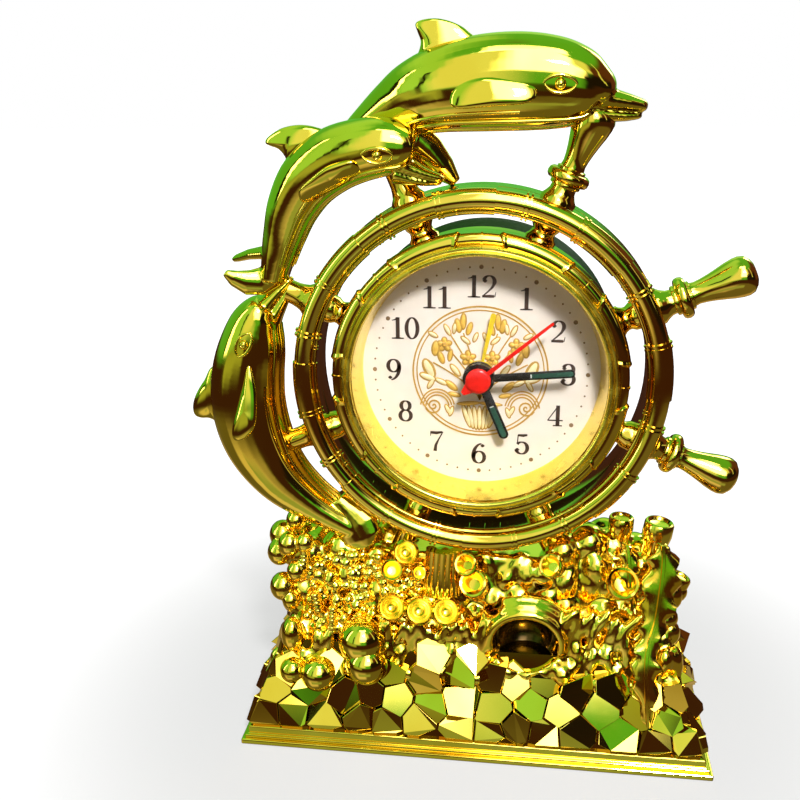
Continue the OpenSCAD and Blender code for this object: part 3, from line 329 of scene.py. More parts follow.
# lumps on the stones: count, reach past the waist, heights, sink into the slope, radii, width, stretch, sway
DRAPES = ((26, 0, (21.5, 27), 1.9, (1.7, 2.5), 0.8, (1.3, 2.4), 0.3),
          (34, 1, (17.5, 22.5), 1.6, (1.2, 1.9), 1, (1.0, 1.9), 0.5))
core_w, core_d = waist_w - CORE_IN_W, waist_d - CORE_IN_D
front_y = -waist_d / 2
reef_gold = plating("reef_gold", (0.98, 0.71, 0.13), (0.93, 0.55, 0.06), rough=0.11, peel=0.03)


def ball(name, centre, radius, squash=(1, 1, 1), turn=(0, 0, 0), rings=10):
    """A sphere at its place, flattened and turned if asked, in millimetres."""
    fresh()
    bpy.ops.mesh.primitive_uv_sphere_add(segments=2 * rings, ring_count=rings, radius=radius * MM,
                                         location=[c * MM for c in centre], rotation=turn)
    bpy.context.object.scale = squash
    return settle(bpy.context.object, name)


def fuse(pieces, name, voxel, rounds=3, factor=0.5):
    """Joins pieces and melts them into one closed skin, smoothed where they meet."""
    whole = join(pieces, name)
    modify(whole, "REMESH", mode="VOXEL", voxel_size=voxel * MM, use_smooth_shade=True)
    return modify(whole, "SMOOTH", factor=factor, iterations=rounds)


def smooth_all(piece):
    """Shades a rounded piece smooth all over."""
    take(piece)
    bpy.ops.object.shade_smooth()
    return piece


def cut(piece, cutter):
    """Takes the cutter's shape out of a piece."""
    modify(piece, "BOOLEAN", operation="DIFFERENCE", object=cutter, solver="EXACT")
    bpy.data.objects.remove(cutter)
    return piece


def mound_depth(z):
    """How far the front of the mound stands out at a height."""
    foot, crown = waist_d / 2 - 1.6, (core_d - CROWN_IN_D) / 2
    share = (z - WAIST_Z) / (CROWN_Z - WAIST_Z)
    return foot - (foot - crown) * min(1, max(0, share)) ** 0.8


def slope_out(z, half, inset):
    """How far the stone skirt stands out at a height, on a side that is this far out at its foot."""
    return half - inset / 2 * (z - PLINTH_TOP) / (WAIST_Z - PLINTH_TOP)


mound = [block("core", (-core_w / 2, -core_d / 2 + 1, WAIST_Z - 2),
               (core_w / 2, core_d / 2 - 1, CROWN_Z - 1))]
pick_faces(mound[0], faces_up)
bpy.ops.transform.resize(value=(0.97, 0.6, 1))
fresh()
for row in range(ROCK_ROWS):
    z = WAIST_Z + 0.6 + ROCK_ROW_H * row
    for k in range(ROCK_COUNT):
        for side in (-1, 1):
            x = -core_w / 2 + core_w * (k + 0.5 * (row % 2)) / (ROCK_COUNT - 1) + chance.uniform(-1.6, 1.6)
            reach = mound_depth(z) + chance.uniform(-1.3, 0.5) - ROCK_SINK
            centre = (x, side * reach, z + chance.uniform(-1.2, 1.2))
            radius, stretch = chance.uniform(*ROCK_RADII), chance.uniform(*ROCK_STRETCH)
            lean = chance.uniform(*ROCK_LEAN)
            mound.append(ball("rock", centre, radius, (1, 0.9, stretch), (0, lean, 0), rings=7))
    for side in (-1, 1):
        for y in END_ROCK_Y:
            centre = (side * (core_w / 2 - 0.4 * row), y * (1 - 0.1 * row), z + chance.uniform(-1, 1))
            radius, stretch = chance.uniform(*END_ROCK_RADII), chance.uniform(*END_ROCK_STRETCH)
            mound.append(ball("rock", centre, radius, (1, 1, stretch), rings=7))
for x, y, z, radius in CROWN_ROCKS:
    mound.append(ball("rock", (x, y, z), radius, rings=8))
for count, over, heights, sink, radii, wide, stretch, sway in DRAPES:
    for k in range(count):
        for side in (-1, 1):
            x = -waist_w / 2 - over + (waist_w + 2 * over) * k / (count - 1) + chance.uniform(-1, 1)
            z = chance.uniform(*heights)
            centre = (x, side * (slope_out(z, skirt_d / 2, SKIRT_IN_D) - sink), z)
            mound.append(ball("drape", centre, chance.uniform(*radii), (wide, 0.9, chance.uniform(*stretch)),
                              (0, chance.uniform(-sway, sway), 0), rings=8))
# a row of lumps on the stones under the cave
for k in range(CAVE_LUMPS):
    z = CAVE_LUMP_Z + 1.6 * (k % 2)
    centre = (CAVE_LUMP_X + FOLD_PITCH * k, 1.2 - slope_out(z, skirt_d / 2, SKIRT_IN_D), z)
    mound.append(ball("drape", centre, CAVE_LUMP_R + 0.3 * (k % 3), (1, 0.9, 1.1), rings=8))
# lumps on the stones at both ends
for k in range(END_LUMPS):
    for side in (-1, 1):
        y, z = -waist_d / 2 + waist_d * k / (END_LUMPS - 1), chance.uniform(*END_LUMP_Z)
        centre = (side * (slope_out(z, skirt_w / 2, SKIRT_IN_W) - 1.9), y, z)
        radius, stretch = chance.uniform(*END_LUMP_RADII), chance.uniform(*END_LUMP_STRETCH)
        mound.append(ball("drape", centre, radius, (0.9, 1, stretch), rings=8))
# upright folds to the left of the cave
for k in range(LEFT_FOLDS):
    x = LEFT_FOLD_X + FOLD_PITCH * k + chance.uniform(-0.5, 0.5)
    centre = (x, front_y + 1.7, LEFT_FOLD_Z + chance.uniform(-1.5, 1.5))
    stretch, lean = chance.uniform(*LEFT_FOLD_STRETCH), chance.uniform(*FOLD_SWAY)
    mound.append(ball("fold", centre, LEFT_FOLD_R, (0.8, 1.1, stretch), (0, lean, 0), rings=8))
# slanting folds to the right of the cave
for k in range(RIGHT_FOLDS):
    x, z = RIGHT_FOLD_X + FOLD_PITCH * k, RIGHT_FOLD_Z + chance.uniform(-3, 3)
    centre = (x, front_y + 2.4 + 0.3 * (k % 3), z)
    stretch, lean = chance.uniform(*RIGHT_FOLD_STRETCH), RIGHT_FOLD_LEAN + chance.uniform(*FOLD_SWAY)
    mound.append(ball("fold", centre, RIGHT_FOLD_R, (0.85, 1.1, stretch), (0, lean, 0), rings=8))
# three ridges round the mouth of the cave
for ridge in range(3):
    reach = CAVE_R + 0.7 + 1.6 * ridge
    for k in range(RIDGE_BALLS):
        turn = math.radians(RIDGE_START + RIDGE_SWEEP * k / (RIDGE_BALLS - 1))
        centre = (CAVE_X + reach * math.cos(turn), front_y + 0.5 + 1.5 * ridge,
                  CAVE_Z + 0.9 * reach * math.sin(turn))
        mound.append(ball("cave_ridge", centre, 1.15 - 0.12 * ridge, rings=6))
reef_rock = fuse(mound, "reef_rock", REEF_VOXEL)
cut(reef_rock, ball("cave", (CAVE_X, front_y - 1, CAVE_Z), CAVE_R, (1, 1.35, CAVE_FLAT), rings=20))
cut(reef_rock, ball("small_cave", SMALL_CAVE, SMALL_CAVE_R, (0.9, 1.6, 1.15), (0, 0.3, 0), rings=14))
modify(reef_rock, "REMESH", mode="VOXEL", voxel_size=REEF_VOXEL * MM, use_smooth_shade=True)
modify(reef_rock, "SMOOTH", factor=0.5, iterations=2)
dress(reef_rock, reef_gold, "reef_front", "reef_rear")

# The cave's inside is lined with a near-black sheet: painted shade in the hollow.
cave_painted_shade = plating("cave_painted_shade", (0.10, 0.065, 0.02), (0.05, 0.03, 0.01), rough=0.18, peel=0.0)
cave_shade_sheet = ball("cave_shade_sheet", (CAVE_X, front_y - 0.6, CAVE_Z), CAVE_R - 0.25, (1, 1.12, CAVE_FLAT),
                   rings=20)
pick_faces(cave_shade_sheet, lambda centre, normal: centre.y < (front_y + 3.2) * MM)
bpy.ops.mesh.delete(type="FACE")
fresh()
modify(cave_shade_sheet, "SOLIDIFY", thickness=0.6 * MM, offset=1.0)
dress(smooth_all(cave_shade_sheet), cave_painted_shade)

# Coral, shells and boulders
# Bubbly coral, ringed worms, rosettes, cups and a fluted column crowd the reef's front, moulded with it.
# Grape-like lumps swell out at the left end, and smooth boulders lie on the stones below.
# place and radius of each lump and of each boulder
LUMPS = ((-43.6, -6, 52.0, 2.5), (-47.4, -5, 47.4, 3.3), (-47.6, -8, 44.2, 3.0), (-44.5, -10, 47.6, 2.8),
         (-46.4, -11, 36.6, 3.2), (-44.2, -12.5, 33.8, 2.2), (-42.6, -12, 41.5, 2.4), (-40.4, -11, 48.6, 2.2),
         (-45.6, -3, 42, 3.4), (-45.2, 2, 38, 3.4), (-45.8, 3, 46, 3.2), (-44.8, -8, 31, 2.8))
BOULDERS = ((-26.4, -16.4, 26.4, 5.7), (-25.0, -18.6, 21.4, 5.0), (-36.7, -18.8, 18.0, 4.3),
            (-43.2, -18.4, 18.2, 3.2))
# foot of each ringed worm, its lean and its number of rings
WORMS = ((-41.2, -11.8, 41.6, 0.12, 6), (-34, -14.8, 27.6, 0.05, 7), (-37.4, -13.6, 32.4, -0.2, 5))
# place and size of each rosette, and place, size and sideways lean of each cup
ROSETTES = ((-19.2, -15.8, 35.4, 1.25), (-12.7, -15.9, 35.0, 1.25), (-6.4, -15.9, 35.2, 1.25),
            (-16.4, -10.6, 47.2, 1.15))
CUPS = ((-19.6, -12.4, 43.2, 1.15, 0.2), (-2.0, -11.4, 45.2, 1.25, -0.3), (-0.2, -13.2, 41.3, 1.5, -0.2),
        (33.3, -13.4, 43.6, 1.7, 0.1), (-13.4, -11.8, 42.6, 0.8, 0.4), (17.6, -11.4, 46, 1.3, -0.5))
BUBBLES, WORM_PITCH, CORAL_VOXEL, FLUTES = 170, 0.95, 0.26, 7
CORAL_LEFT, CORAL_RIGHT, CORAL_LOW, CORAL_HIGH = -41, -13, 27.5, 47.5
SPIRAL_BALLS, SPIRAL_TURN, SPIRAL_X, SPIRAL_Y, SPIRAL_Z = 26, 0.55, 26.1, -5, 50.4
COLUMN_X, COLUMN_Y, COLUMN_Z, COLUMN_WIDE, COLUMN_DEEP = -8.2, -9.0, 36.6, 3.4, 2.2
MERGE_M = 1e-6


def opened(name, points, edges, faces):
    """A piece from points in metres with its edges and faces, opened in edit mode with all of it selected."""
    mesh = bpy.data.meshes.new(name)
    mesh.from_pydata(points, edges, faces)
    piece = bpy.data.objects.new(name, mesh)
    bpy.context.collection.objects.link(piece)
    take(piece)
    bpy.ops.object.mode_set(mode="EDIT")
    bpy.ops.mesh.select_all(action="SELECT")
    return piece


def spun(piece, steps, sweep, centre, axis):
    """Spins an opened outline about an axis, merges the points that meet and turns the faces outwards."""
    bpy.ops.mesh.spin(steps=steps, angle=math.radians(sweep), center=centre, axis=axis)
    bpy.ops.mesh.select_all(action="SELECT")
    bpy.ops.mesh.remove_doubles(threshold=MERGE_M)
    bpy.ops.mesh.normals_make_consistent(inside=False)
    fresh()
    return piece


def lathe(name, outline, place, steps=32):
    """Spins an outline of (radius, height) points about its own axis and sets the turned piece in place."""
    points = [(r * MM, 0, h * MM) for r, h in outline]
    line = opened(name, points, [(i, i + 1) for i in range(len(points) - 1)], [])
    piece = spun(line, steps, 360, (0, 0, 0), (0, 0, 1))
    piece.matrix_world = place
    return settle(piece, name)


def aimed(x, y, z, direction):
    """A frame at a place in millimetres, with its z axis along a direction."""
    turn = Vector(direction).to_track_quat("Z", "Y").to_matrix().to_4x4()
    return Matrix.Translation((x * MM, y * MM, z * MM)) @ turn


def sized(outline, size):
    """An outline made larger or smaller."""
    return [(r * size, h * size) for r, h in outline]


def smooth(piece, degrees=35):
    """Shades a piece smooth except over its sharp edges."""
    take(piece)
    bpy.ops.object.shade_smooth_by_angle(angle=math.radians(degrees))
    return piece


def in_patch(x, z):
    """Whether a bubble lies below both sloping edges of the coral and clear of the boulders."""
    across = x - CORAL_LEFT
    return z <= 42 + 0.4 * across and z <= 46.5 - 0.1 * across and not (x > -30 and z < 30)


bubbles = [ball("lump", (x, y, z), radius, (1, 1, 1.12), rings=10) for x, y, z, radius in LUMPS]
for k in range(BUBBLES):
    x, z = chance.uniform(CORAL_LEFT, CORAL_RIGHT), chance.uniform(CORAL_LOW, CORAL_HIGH)
    if in_patch(x, z):
        centre = (x, -mound_depth(z) - 0.1 + chance.uniform(-0.5, 0.5), z)
        bubbles.append(ball("bubble", centre, chance.uniform(0.8, 1.7), rings=6))
for x, y, z, lean, count in WORMS:
    for k in range(count):
        centre = (x + lean * WORM_PITCH * k, y + 0.1 * k, z + WORM_PITCH * k)
        bubbles.append(ball("worm", centre, 1.45 - 0.05 * k, (1, 1, 0.5), rings=8))
dress(fuse(bubbles, "bubble_coral", CORAL_VOXEL, rounds=1, factor=0.4), reef_gold)

rosette = [(0, 0.5), (0.45, 0.62), (0.7, 0.3), (1.0, 0.66), (1.25, 0.36), (1.6, 0.74), (1.95, 0.42),
           (2.3, 0.72), (2.65, 0.3), (2.75, -0.6), (2.4, -2.6), (0, -2.6)]
cup = [(0, -0.8), (0.9, -0.7), (1.5, 0.2), (1.75, 0.9), (2.05, 1.0), (2.3, 0.7), (2.2, 0.1), (1.9, -1.6),
       (1.6, -3), (0, -3)]
shells = [lathe("rosette", sized(rosette, size), aimed(x, y, z, (0.05, -1, 0.55)))
          for x, y, z, size in ROSETTES]
shells += [lathe("cup", sized(cup, size), aimed(x, y, z, (side, -1, 0.75))) for x, y, z, size, side in CUPS]
for k in range(SPIRAL_BALLS):
    turn = SPIRAL_TURN * k
    size = 0.25 + 0.085 * k
    centre = (SPIRAL_X + size * math.cos(turn), SPIRAL_Y - 0.02 * k,
              SPIRAL_Z - 0.06 * k + size * math.sin(turn) * 0.8)
    shells.append(ball("spiral", centre, 0.42 + 0.018 * k, rings=6))
dress(smooth(join(shells, "rosettes_and_cups"), 50), reef_gold)

flute = [(0, 0), (1.7, 0), (1.4, 3), (1.15, 7), (1.3, 11.4), (0, 11.4)]
column = []
for k in range(FLUTES):
    turn = math.pi * (k + 0.5) / FLUTES
    lean = (0.06 - 0.03 * math.cos(turn), 0.02, 1)
    x, y = COLUMN_X + COLUMN_WIDE * math.cos(turn), COLUMN_Y - COLUMN_DEEP * math.sin(turn)
    column.append(lathe("flute", flute, aimed(x, y, COLUMN_Z, lean), steps=16))
dress(smooth(join(column, "fluted_column")), reef_gold)

boulders = [smooth(ball("boulder", (x, y, z), radius, (1, 0.95, 1), rings=24), 60)
            for x, y, z, radius in BOULDERS]
dress(join(boulders, "boulders"), stone_gold)

# Tube sponges and seaweed
# Three tube sponges with sunk tops stand at the right end, and ribbed seaweed blades hang over them.
# They are moulded with the reef and plated like it.
# place of each tube's top, its size and its lean, and place and radius of each lump at the tubes' feet
TUBES = ((33.4, -2, 55.0, 0.92, (0.05, 0, 1)), (42.0, -3, 54.6, 1.08, (0.14, -0.02, 1)),
         (47.4, -4, 41.4, 0.9, (0.4, 0, 1)))
TUBE_FEET = ((38, -5, 44, 3.4), (36, -8, 40, 3.2), (43.6, -4, 36, 3.6), (44, -9, 33, 3),
             (46.6, -4.5, 37.6, 2.7))
BLADE_STEPS, BLADE_WAVE = 6, 0.7
tube = [(0, -1.0), (2.0, -0.6), (2.25, -0.15), (2.55, 0.1), (2.9, 0), (3.15, -0.45), (3.2, -3.0),
        (2.95, -4.4), (2.45, -5.6), (2.35, -15), (0, -15)]
sponges = [lathe("tube", sized(tube, size), aimed(x, y, z, lean)) for x, y, z, size, lean in TUBES]
sponges += [ball("foot", (x, y, z), radius, rings=10) for x, y, z, radius in TUBE_FEET]
dress(smooth(join(sponges, "tube_sponges"), 40), reef_gold)


def loft(name, rings):
    """A closed skin over rings of points, capped at both ends."""
    n = len(rings[0])
    points = [p for ring in rings for p in ring]
    faces = [[i * n + k, i * n + (k + 1) % n, (i + 1) * n + (k + 1) % n, (i + 1) * n + k]
             for i in range(len(rings) - 1) for k in range(n)]
    faces += [list(range(n))[::-1], [len(points) - n + k for k in range(n)]]
    piece = opened(name, points, [], faces)
    bpy.ops.mesh.normals_make_consistent(inside=False)
    fresh()
    return settle(piece, name)


def through(a, b, c, d, t):
    """A point on the smooth curve from b to c, which comes from a and goes on to d."""
    return b + 0.5 * t * (c - a + t * (2 * a - 5 * b + 4 * c - d + t * (3 * (b - c) + d - a)))


def seaweed(name, rib):
    """A leaf blade through (x, y, z, half width) joints: thin, with a raised midrib and wavy edges."""
    joints = [Vector(joint) for joint in rib]
    last = len(joints) - 1
    rings = []
    for i in range(last * BLADE_STEPS + 1):
        j = min(i // BLADE_STEPS, last - 1)
        a, b, c, d = joints[max(j - 1, 0)], joints[j], joints[j + 1], joints[min(j + 2, last)]
        p = through(a, b, c, d, i / BLADE_STEPS - j)
        wide = max(0.3, p.w * (1 + 0.22 * math.sin(i * 1.3)))
        curl = BLADE_WAVE * math.sin(i * 0.9)
        front = [(-wide, 0.6 + curl), (-wide * 0.8, 0.25 + curl * 0.5), (-wide * 0.45, 0.05), (-0.45, 0),
                 (-0.3, -0.45), (0.3, -0.45), (0.45, 0), (wide * 0.45, 0.05), (wide * 0.8, 0.25 - curl * 0.5),
                 (wide, 0.6 - curl)]
        rear = [(u, v + 0.6) for u, v in front[::-1]]
        rings.append([((p.x + u) * MM, (p.y + v) * MM, p.z * MM) for u, v in front + rear])
    return smooth(loft(name, rings), 60)


# place and half width of each joint of a blade's rib
blade = seaweed("blade", [(41.8, -11.8, 53.0, 0.8), (42.2, -12.6, 49.5, 3.0), (41.8, -14.4, 43, 3.9),
                          (41, -16.2, 36, 3.0), (39.6, -18.0, 31, 2.4), (39.2, -19.8, 26, 3.0),
                          (39.6, -21.4, 19, 2.2), (40.4, -22.0, 12, 0.8)])
side_blade = seaweed("side_blade", [(34.2, -10.6, 52, 0.6), (34.6, -11.4, 49.5, 1.9), (35.0, -12.6, 45, 2.2),
                                    (35.4, -13.6, 41, 1.6), (35.8, -14.4, 37.5, 0.6)])
dress(join([blade, side_blade], "seaweed_blades"), reef_gold)

# Helm wheel
# The ship's wheel is moulded in a front and a rear half, which meet on a flat parting plane and are screwed.
# Rim and drum look like bent tubes with sleeves and collars at the joints.
# The handles look turned, with a collar, a neck and a bulb.
HELM_Y, WHEEL_Z, RING_R, RING_W, HALF_T = -4.0, 90.0, 41.5, 5.0, 8.0
DRUM_R, DRUM_REAR_R, DRUM_BORE_R, SPOKE_R = 32.5, 31.5, 29.4, 2.6
SPOKES = [22.5 + 45 * k for k in range(8)]
HANDLE_SPOKES, BEAK_SPOKE = (22.5, 67.5, 337.5), 157.5
STUB_LEN, BEAK_STUB_LEN = 8.2, 5.2
PARTING_GAP, SLEEVE_HALF, SLEEVE_STEPS, SLEEVE_SIDES = 0.12, 14.5, 64, 20
RIM_TUBE, RIM_BEAD, DRUM_TUBE = (RING_R - 2.35, 5.8), (RING_R - 4.55, 5.75), (DRUM_R - 1.45, 6.6)
RIM_SLEEVE_SWEEP, COLLAR_SWEEP, TICK_SWEEP, DRUM_COLLAR_SWEEP = 18, 0.6, 0.4, 0.8
COLLAR_SHIFTS, TICK_SHIFTS, DRUM_COLLAR_SHIFT = (-9.6, -8.2, 9.6, 8.2), (-13.5, -12.4, 12.4, 13.5), 22.5
helm_gold = plating("helm_gold", (0.90, 0.62, 0.12), (0.82, 0.50, 0.07), rough=0.06, peel=0.02)


def at_helm(x, y, d):
    """A point of the helm's own frame (right, up, towards the viewer), in metres."""
    return Vector((x * MM, (HELM_Y - d) * MM, (WHEEL_Z + y) * MM))


def turned(name, profile, start=0.0, sweep=360.0, steps=128):
    """Spins a closed outline of (radius, depth) points about the wheel's axis, right round or part way."""
    a = math.radians(start)
    n = len(profile)
    points = [at_helm(r * math.cos(a), r * math.sin(a), d) for r, d in profile]
    outline = opened(name, points, [(i, (i + 1) % n) for i in range(n)],
                     [] if sweep == 360 else [list(range(n))])
    return settle(spun(outline, steps, sweep, at_helm(0, 0, 0), (0, -1, 0)), name)


def circle(count):
    """Even turns right round, in radians."""
    return [math.tau * k / count for k in range(count)]


def arc(centre, radius, start, end, count=12):
    """Points of an arc in an outline."""
    turns = [math.radians(start + (end - start) * k / count) for k in range(count + 1)]
    return [(centre[0] + radius * math.cos(t), centre[1] + radius * math.sin(t)) for t in turns]


def rim_outline(grow=0.0, foot=PARTING_GAP):
    """The rim's front half: a tube along the outer edge and a fine bead along the inner one."""
    return ([(RING_R - 0.25 + 0.5 * grow, foot), (RING_R - 0.25 + 0.5 * grow, 5.4)]
            + arc(RIM_TUBE, 2.15 + grow, 5, 165) + arc(RIM_BEAD, 0.62 + 0.8 * grow, 70, 190, 6)
            + [(RING_R - RING_W, 5.0), (RING_R - RING_W, foot)])


def spoke_place(angle, start):
    """The frame of a spoke: z outwards from a radius, seen in the helm's plane."""
    a = math.radians(angle)
    outwards = Vector((math.cos(a), 0, math.sin(a)))
    front = Vector((0, -1, 0))
    turn = Matrix((front.cross(outwards), front, outwards)).transposed().to_4x4()
    return Matrix.Translation(at_helm(start * math.cos(a), start * math.sin(a), 0)) @ turn


def band(name, outline, middle, sweep, steps):
    """A short band round the wheel's axis, with its middle at an angle."""
    return smooth(turned(name, outline, middle - sweep / 2, sweep, steps), 50)


def plank_sleeve(angle):
    """A sleeve over a joint of the drum's tube, thick in the middle and drawn to a point at its ends."""
    rings = []
    for i in range(SLEEVE_STEPS + 1):
        t = 2 * i / SLEEVE_STEPS - 1
        fat = min(1.0, 9 * (1 - abs(t))) + 0.22 * math.exp(-((abs(t) - 0.87) / 0.045) ** 2)
        centre = DRUM_R - 1.35 - 0.45 * fat
        ring = []
        for s in circle(SLEEVE_SIDES):
            a = math.radians(angle + SLEEVE_HALF * t * (1 + 0.12 * math.cos(s)))
            r = centre + (0.9 + 1.25 * fat) * math.cos(s)
            ring.append(at_helm(r * math.cos(a), r * math.sin(a), 6.5 + (1.1 + 1.0 * fat) * math.sin(s)))
        rings.append(ring)
    return smooth(loft("plank_sleeve", rings), 50)


# radius and height of each point of a turned handle
handle_outline = [(0, -1.5), (4.0, -1.5), (3.9, 0.2), (3.3, 1.0), (2.8, 2.0), (2.7, 2.9), (3.2, 3.1),
                  (3.3, 3.5), (3.2, 3.8), (4.1, 4.0), (4.5, 4.5), (4.6, 5.2), (4.4, 5.9), (3.9, 6.3),
                  (3.1, 6.4), (3.1, 6.9), (2.6, 7.1), (2.45, 8), (2.6, 9.4), (2.95, 11.2), (3.45, 13.2),
                  (3.95, 15), (4.3, 16.8), (4.35, 18.0), (4.0, 19.2), (2.9, 20.15), (2.0, 20.55),
                  (0.9, 20.66), (0, 20.7)]
drum_outline = ([(DRUM_R - 0.2, PARTING_GAP), (DRUM_R - 0.2, 6.2)] + arc(DRUM_TUBE, 1.4, 0, 180)
                + [(DRUM_BORE_R + 0.1, 6.4), (DRUM_BORE_R + 0.1, PARTING_GAP)])
rim_in, rear = RING_R - RING_W, -HALF_T
rim_rear = [(rim_in + 0.2, 0), (RING_R - 0.2, 0), (RING_R - 0.2, rear + 1.5), (RING_R - 0.6, rear + 0.7),
            (RING_R - 1.4, rear + 0.15), (RING_R - 2.2, rear), (rim_in + 2, rear),
            (rim_in + 1.2, rear + 0.15), (rim_in + 0.5, rear + 0.7), (rim_in + 0.2, rear + 1.5)]
drum_rear = [(DRUM_BORE_R, 0), (DRUM_REAR_R, 0), (DRUM_REAR_R, rear + 0.8), (DRUM_REAR_R - 0.8, rear),
             (DRUM_BORE_R, rear)]
span = RING_R - DRUM_REAR_R
spoke = [(0, -1), (SPOKE_R + 0.8, -1), (SPOKE_R + 0.8, 1.2), (SPOKE_R + 0.3, 1.7), (SPOKE_R, 2.4),
         (SPOKE_R, span - 7), (SPOKE_R + 0.5, span - 6.2), (SPOKE_R + 0.7, span - 4.6), (0, span - 4)]
wheel = [smooth(turned("rim_front", rim_outline()), 50), smooth(turned("rim_rear", rim_rear)),
         smooth(turned("drum_front", drum_outline), 50), smooth(turned("drum_rear", drum_rear))]
for angle in SPOKES:
    wheel.append(band("rim_sleeve", rim_outline(grow=0.34, foot=0.3), angle, RIM_SLEEVE_SWEEP, 16))
    for shift in COLLAR_SHIFTS:
        wheel.append(band("rim_collar", rim_outline(grow=0.6, foot=0.6), angle + shift, COLLAR_SWEEP, 3))
    for shift in TICK_SHIFTS:
        wheel.append(band("bead_tick", arc(RIM_BEAD, 0.78, 60, 300, 10), angle + shift, TICK_SWEEP, 2))
    wheel.append(plank_sleeve(angle))
    collar = arc(DRUM_TUBE, 1.6, 0, 330, 20)
    wheel.append(band("drum_collar", collar, angle + DRUM_COLLAR_SHIFT, DRUM_COLLAR_SWEEP, 3))
    wheel.append(smooth(lathe("spoke", spoke, spoke_place(angle, DRUM_REAR_R)), 50))
    if angle in HANDLE_SPOKES:
        outline = handle_outline
    else:
        reach = BEAK_STUB_LEN if angle == BEAK_SPOKE else STUB_LEN
        outline = [(0, -1.5), (3.9, -1.5), (3.8, 0.2), (3.1, 1.2), (2.8, 2.2), (SPOKE_R, 3.4),
                   (SPOKE_R, reach), (0, reach)]
    wheel.append(smooth(lathe("handle", outline, spoke_place(angle, RING_R)), 50))
helm_wheel = join(wheel, "helm_wheel")
dress(helm_wheel, helm_gold, "helm_front", "helm_rear")

# Dolphins
# Three leaping dolphins climb round the wheel, each moulded in two halves that meet on its parting plane.
# They are plated gold and smooth as glass, with ribbed bellies, lidded eyes and flippers on both halves.
dolphin_gold = plating("dolphin_gold", (0.87, 0.64, 0.10), (0.80, 0.56, 0.07), rough=0.05, peel=0.0)
BODY_SIDES, DEPTH, FULL_HEIGHT, DEPTH_POWER, SECTION_POWER = 32, 8.0, 9.4, 0.45, 0.85
BODY_VOXEL, RIB_MIN_DEPTH, RIB_END, ROD_SIDES, SPINE_STEPS = 0.27, 0.9, 0.92, 10, 5
LOBE_SIDES, FLIPPER_TIP, EYE_REACH, LID_STEPS, LID_SIDES = 20, 0.8, 30.0, 20, 10


def around(angle, offset):
    """A point of the helm plane, by its angle round the wheel and its distance off the rim."""
    a = math.radians(angle)
    return Vector(((RING_R + offset) * math.cos(a), (RING_R + offset) * math.sin(a)))


def spread(value, power):
    """A number raised to a power with its sign kept."""
    return math.copysign(abs(value) ** power, value)


def spine(stations):
    """A smooth line of (x, y, half height, depth of the middle) through the stations of a body."""
    points = [Vector((*around(s[0], s[1]), *s[2:])) for s in stations]
    last = len(points) - 1
    line = []
    for i in range(last):
        a, b, c, d = points[max(i - 1, 0)], points[i], points[i + 1], points[min(i + 2, last)]
        line += [through(a, b, c, d, k / SPINE_STEPS) for k in range(SPINE_STEPS)]
    return line + [points[last]]


def belly_side(line, i):
    """The direction across the spine at one of its points, towards the belly."""
    along = line[min(i + 1, len(line) - 1)] - line[max(i - 1, 0)]
    return Vector((-along.y, along.x)).normalized()


def body_depth(height):
    """How far a body stands out of the parting plane where it is this high."""
    return DEPTH * (height / FULL_HEIGHT) ** DEPTH_POWER


def swept_body(name, stations):
    """The body of a dolphin: rounded rings set across its spine."""
    line = spine(stations)
    rings = []
    for i, point in enumerate(line):
        side = belly_side(line, i)
        ring = []
        for t in circle(BODY_SIDES):
            out = side * point.z * spread(math.cos(t), SECTION_POWER)
            ring.append(at_helm(point.x + out.x, point.y + out.y,
                                point.w + body_depth(point.z) * spread(math.sin(t), SECTION_POWER)))
        rings.append(ring)
    return loft(name, rings)


def rod(name, points, radius):
    """A round rod through points of the helm's frame."""
    rings = []
    for i, point in enumerate(points):
        along = (Vector(points[min(i + 1, len(points) - 1)]) - Vector(points[max(i - 1, 0)])).normalized()
        one = along.cross(Vector((0, 0, 1)) if abs(along.z) < 0.9 else Vector((1, 0, 0))).normalized()
        two = along.cross(one)
        rings.append([at_helm(*(Vector(point) + (one * math.cos(t) + two * math.sin(t)) * radius))
                      for t in circle(ROD_SIDES)])
    return loft(name, rings)


def belly_rib(stations, share, radius, start):
    """A fine rib along the belly at a share of the body's half height, on the front and on the rear half."""
    line = spine(stations)
    level = share ** (1 / SECTION_POWER)
    ribs = []
    for half in (-1, 1):
        points = []
        for i, point in enumerate(line):
            if start * len(line) <= i <= RIB_END * len(line):
                out = belly_side(line, i) * point.z * share
                depth = body_depth(point.z) * max(0.0, 1 - level * level) ** (SECTION_POWER / 2)
                points.append((point.x + out.x, point.y + out.y, point.w + half * max(depth, RIB_MIN_DEPTH)))
        ribs.append(rod("rib", points, radius))
    return ribs


def lobe(name, stations):
    """A jaw or tail lobe through (x, y, half height, half depth, depth) joints: oval rings that narrow."""
    rings = []
    for i, (x, y, high, deep, d) in enumerate(stations):
        a, b = stations[max(i - 1, 0)], stations[min(i + 1, len(stations) - 1)]
        side = Vector((a[1] - b[1], b[0] - a[0])).normalized()
        rings.append([at_helm(x + side.x * high * math.cos(t), y + side.y * high * math.cos(t),
                              d + deep * math.sin(t))
                      for t in circle(LOBE_SIDES)])
    return loft(name, rings)


FIN_SCALES = (0.04, 0.3, 0.55, 0.75, 0.9, 0.975, 1.0)
FIN_RINGS = ([(-math.sqrt(1 - f * f), f) for f in FIN_SCALES]
             + [(math.sqrt(1 - f * f), f) for f in FIN_SCALES[-2::-1]])


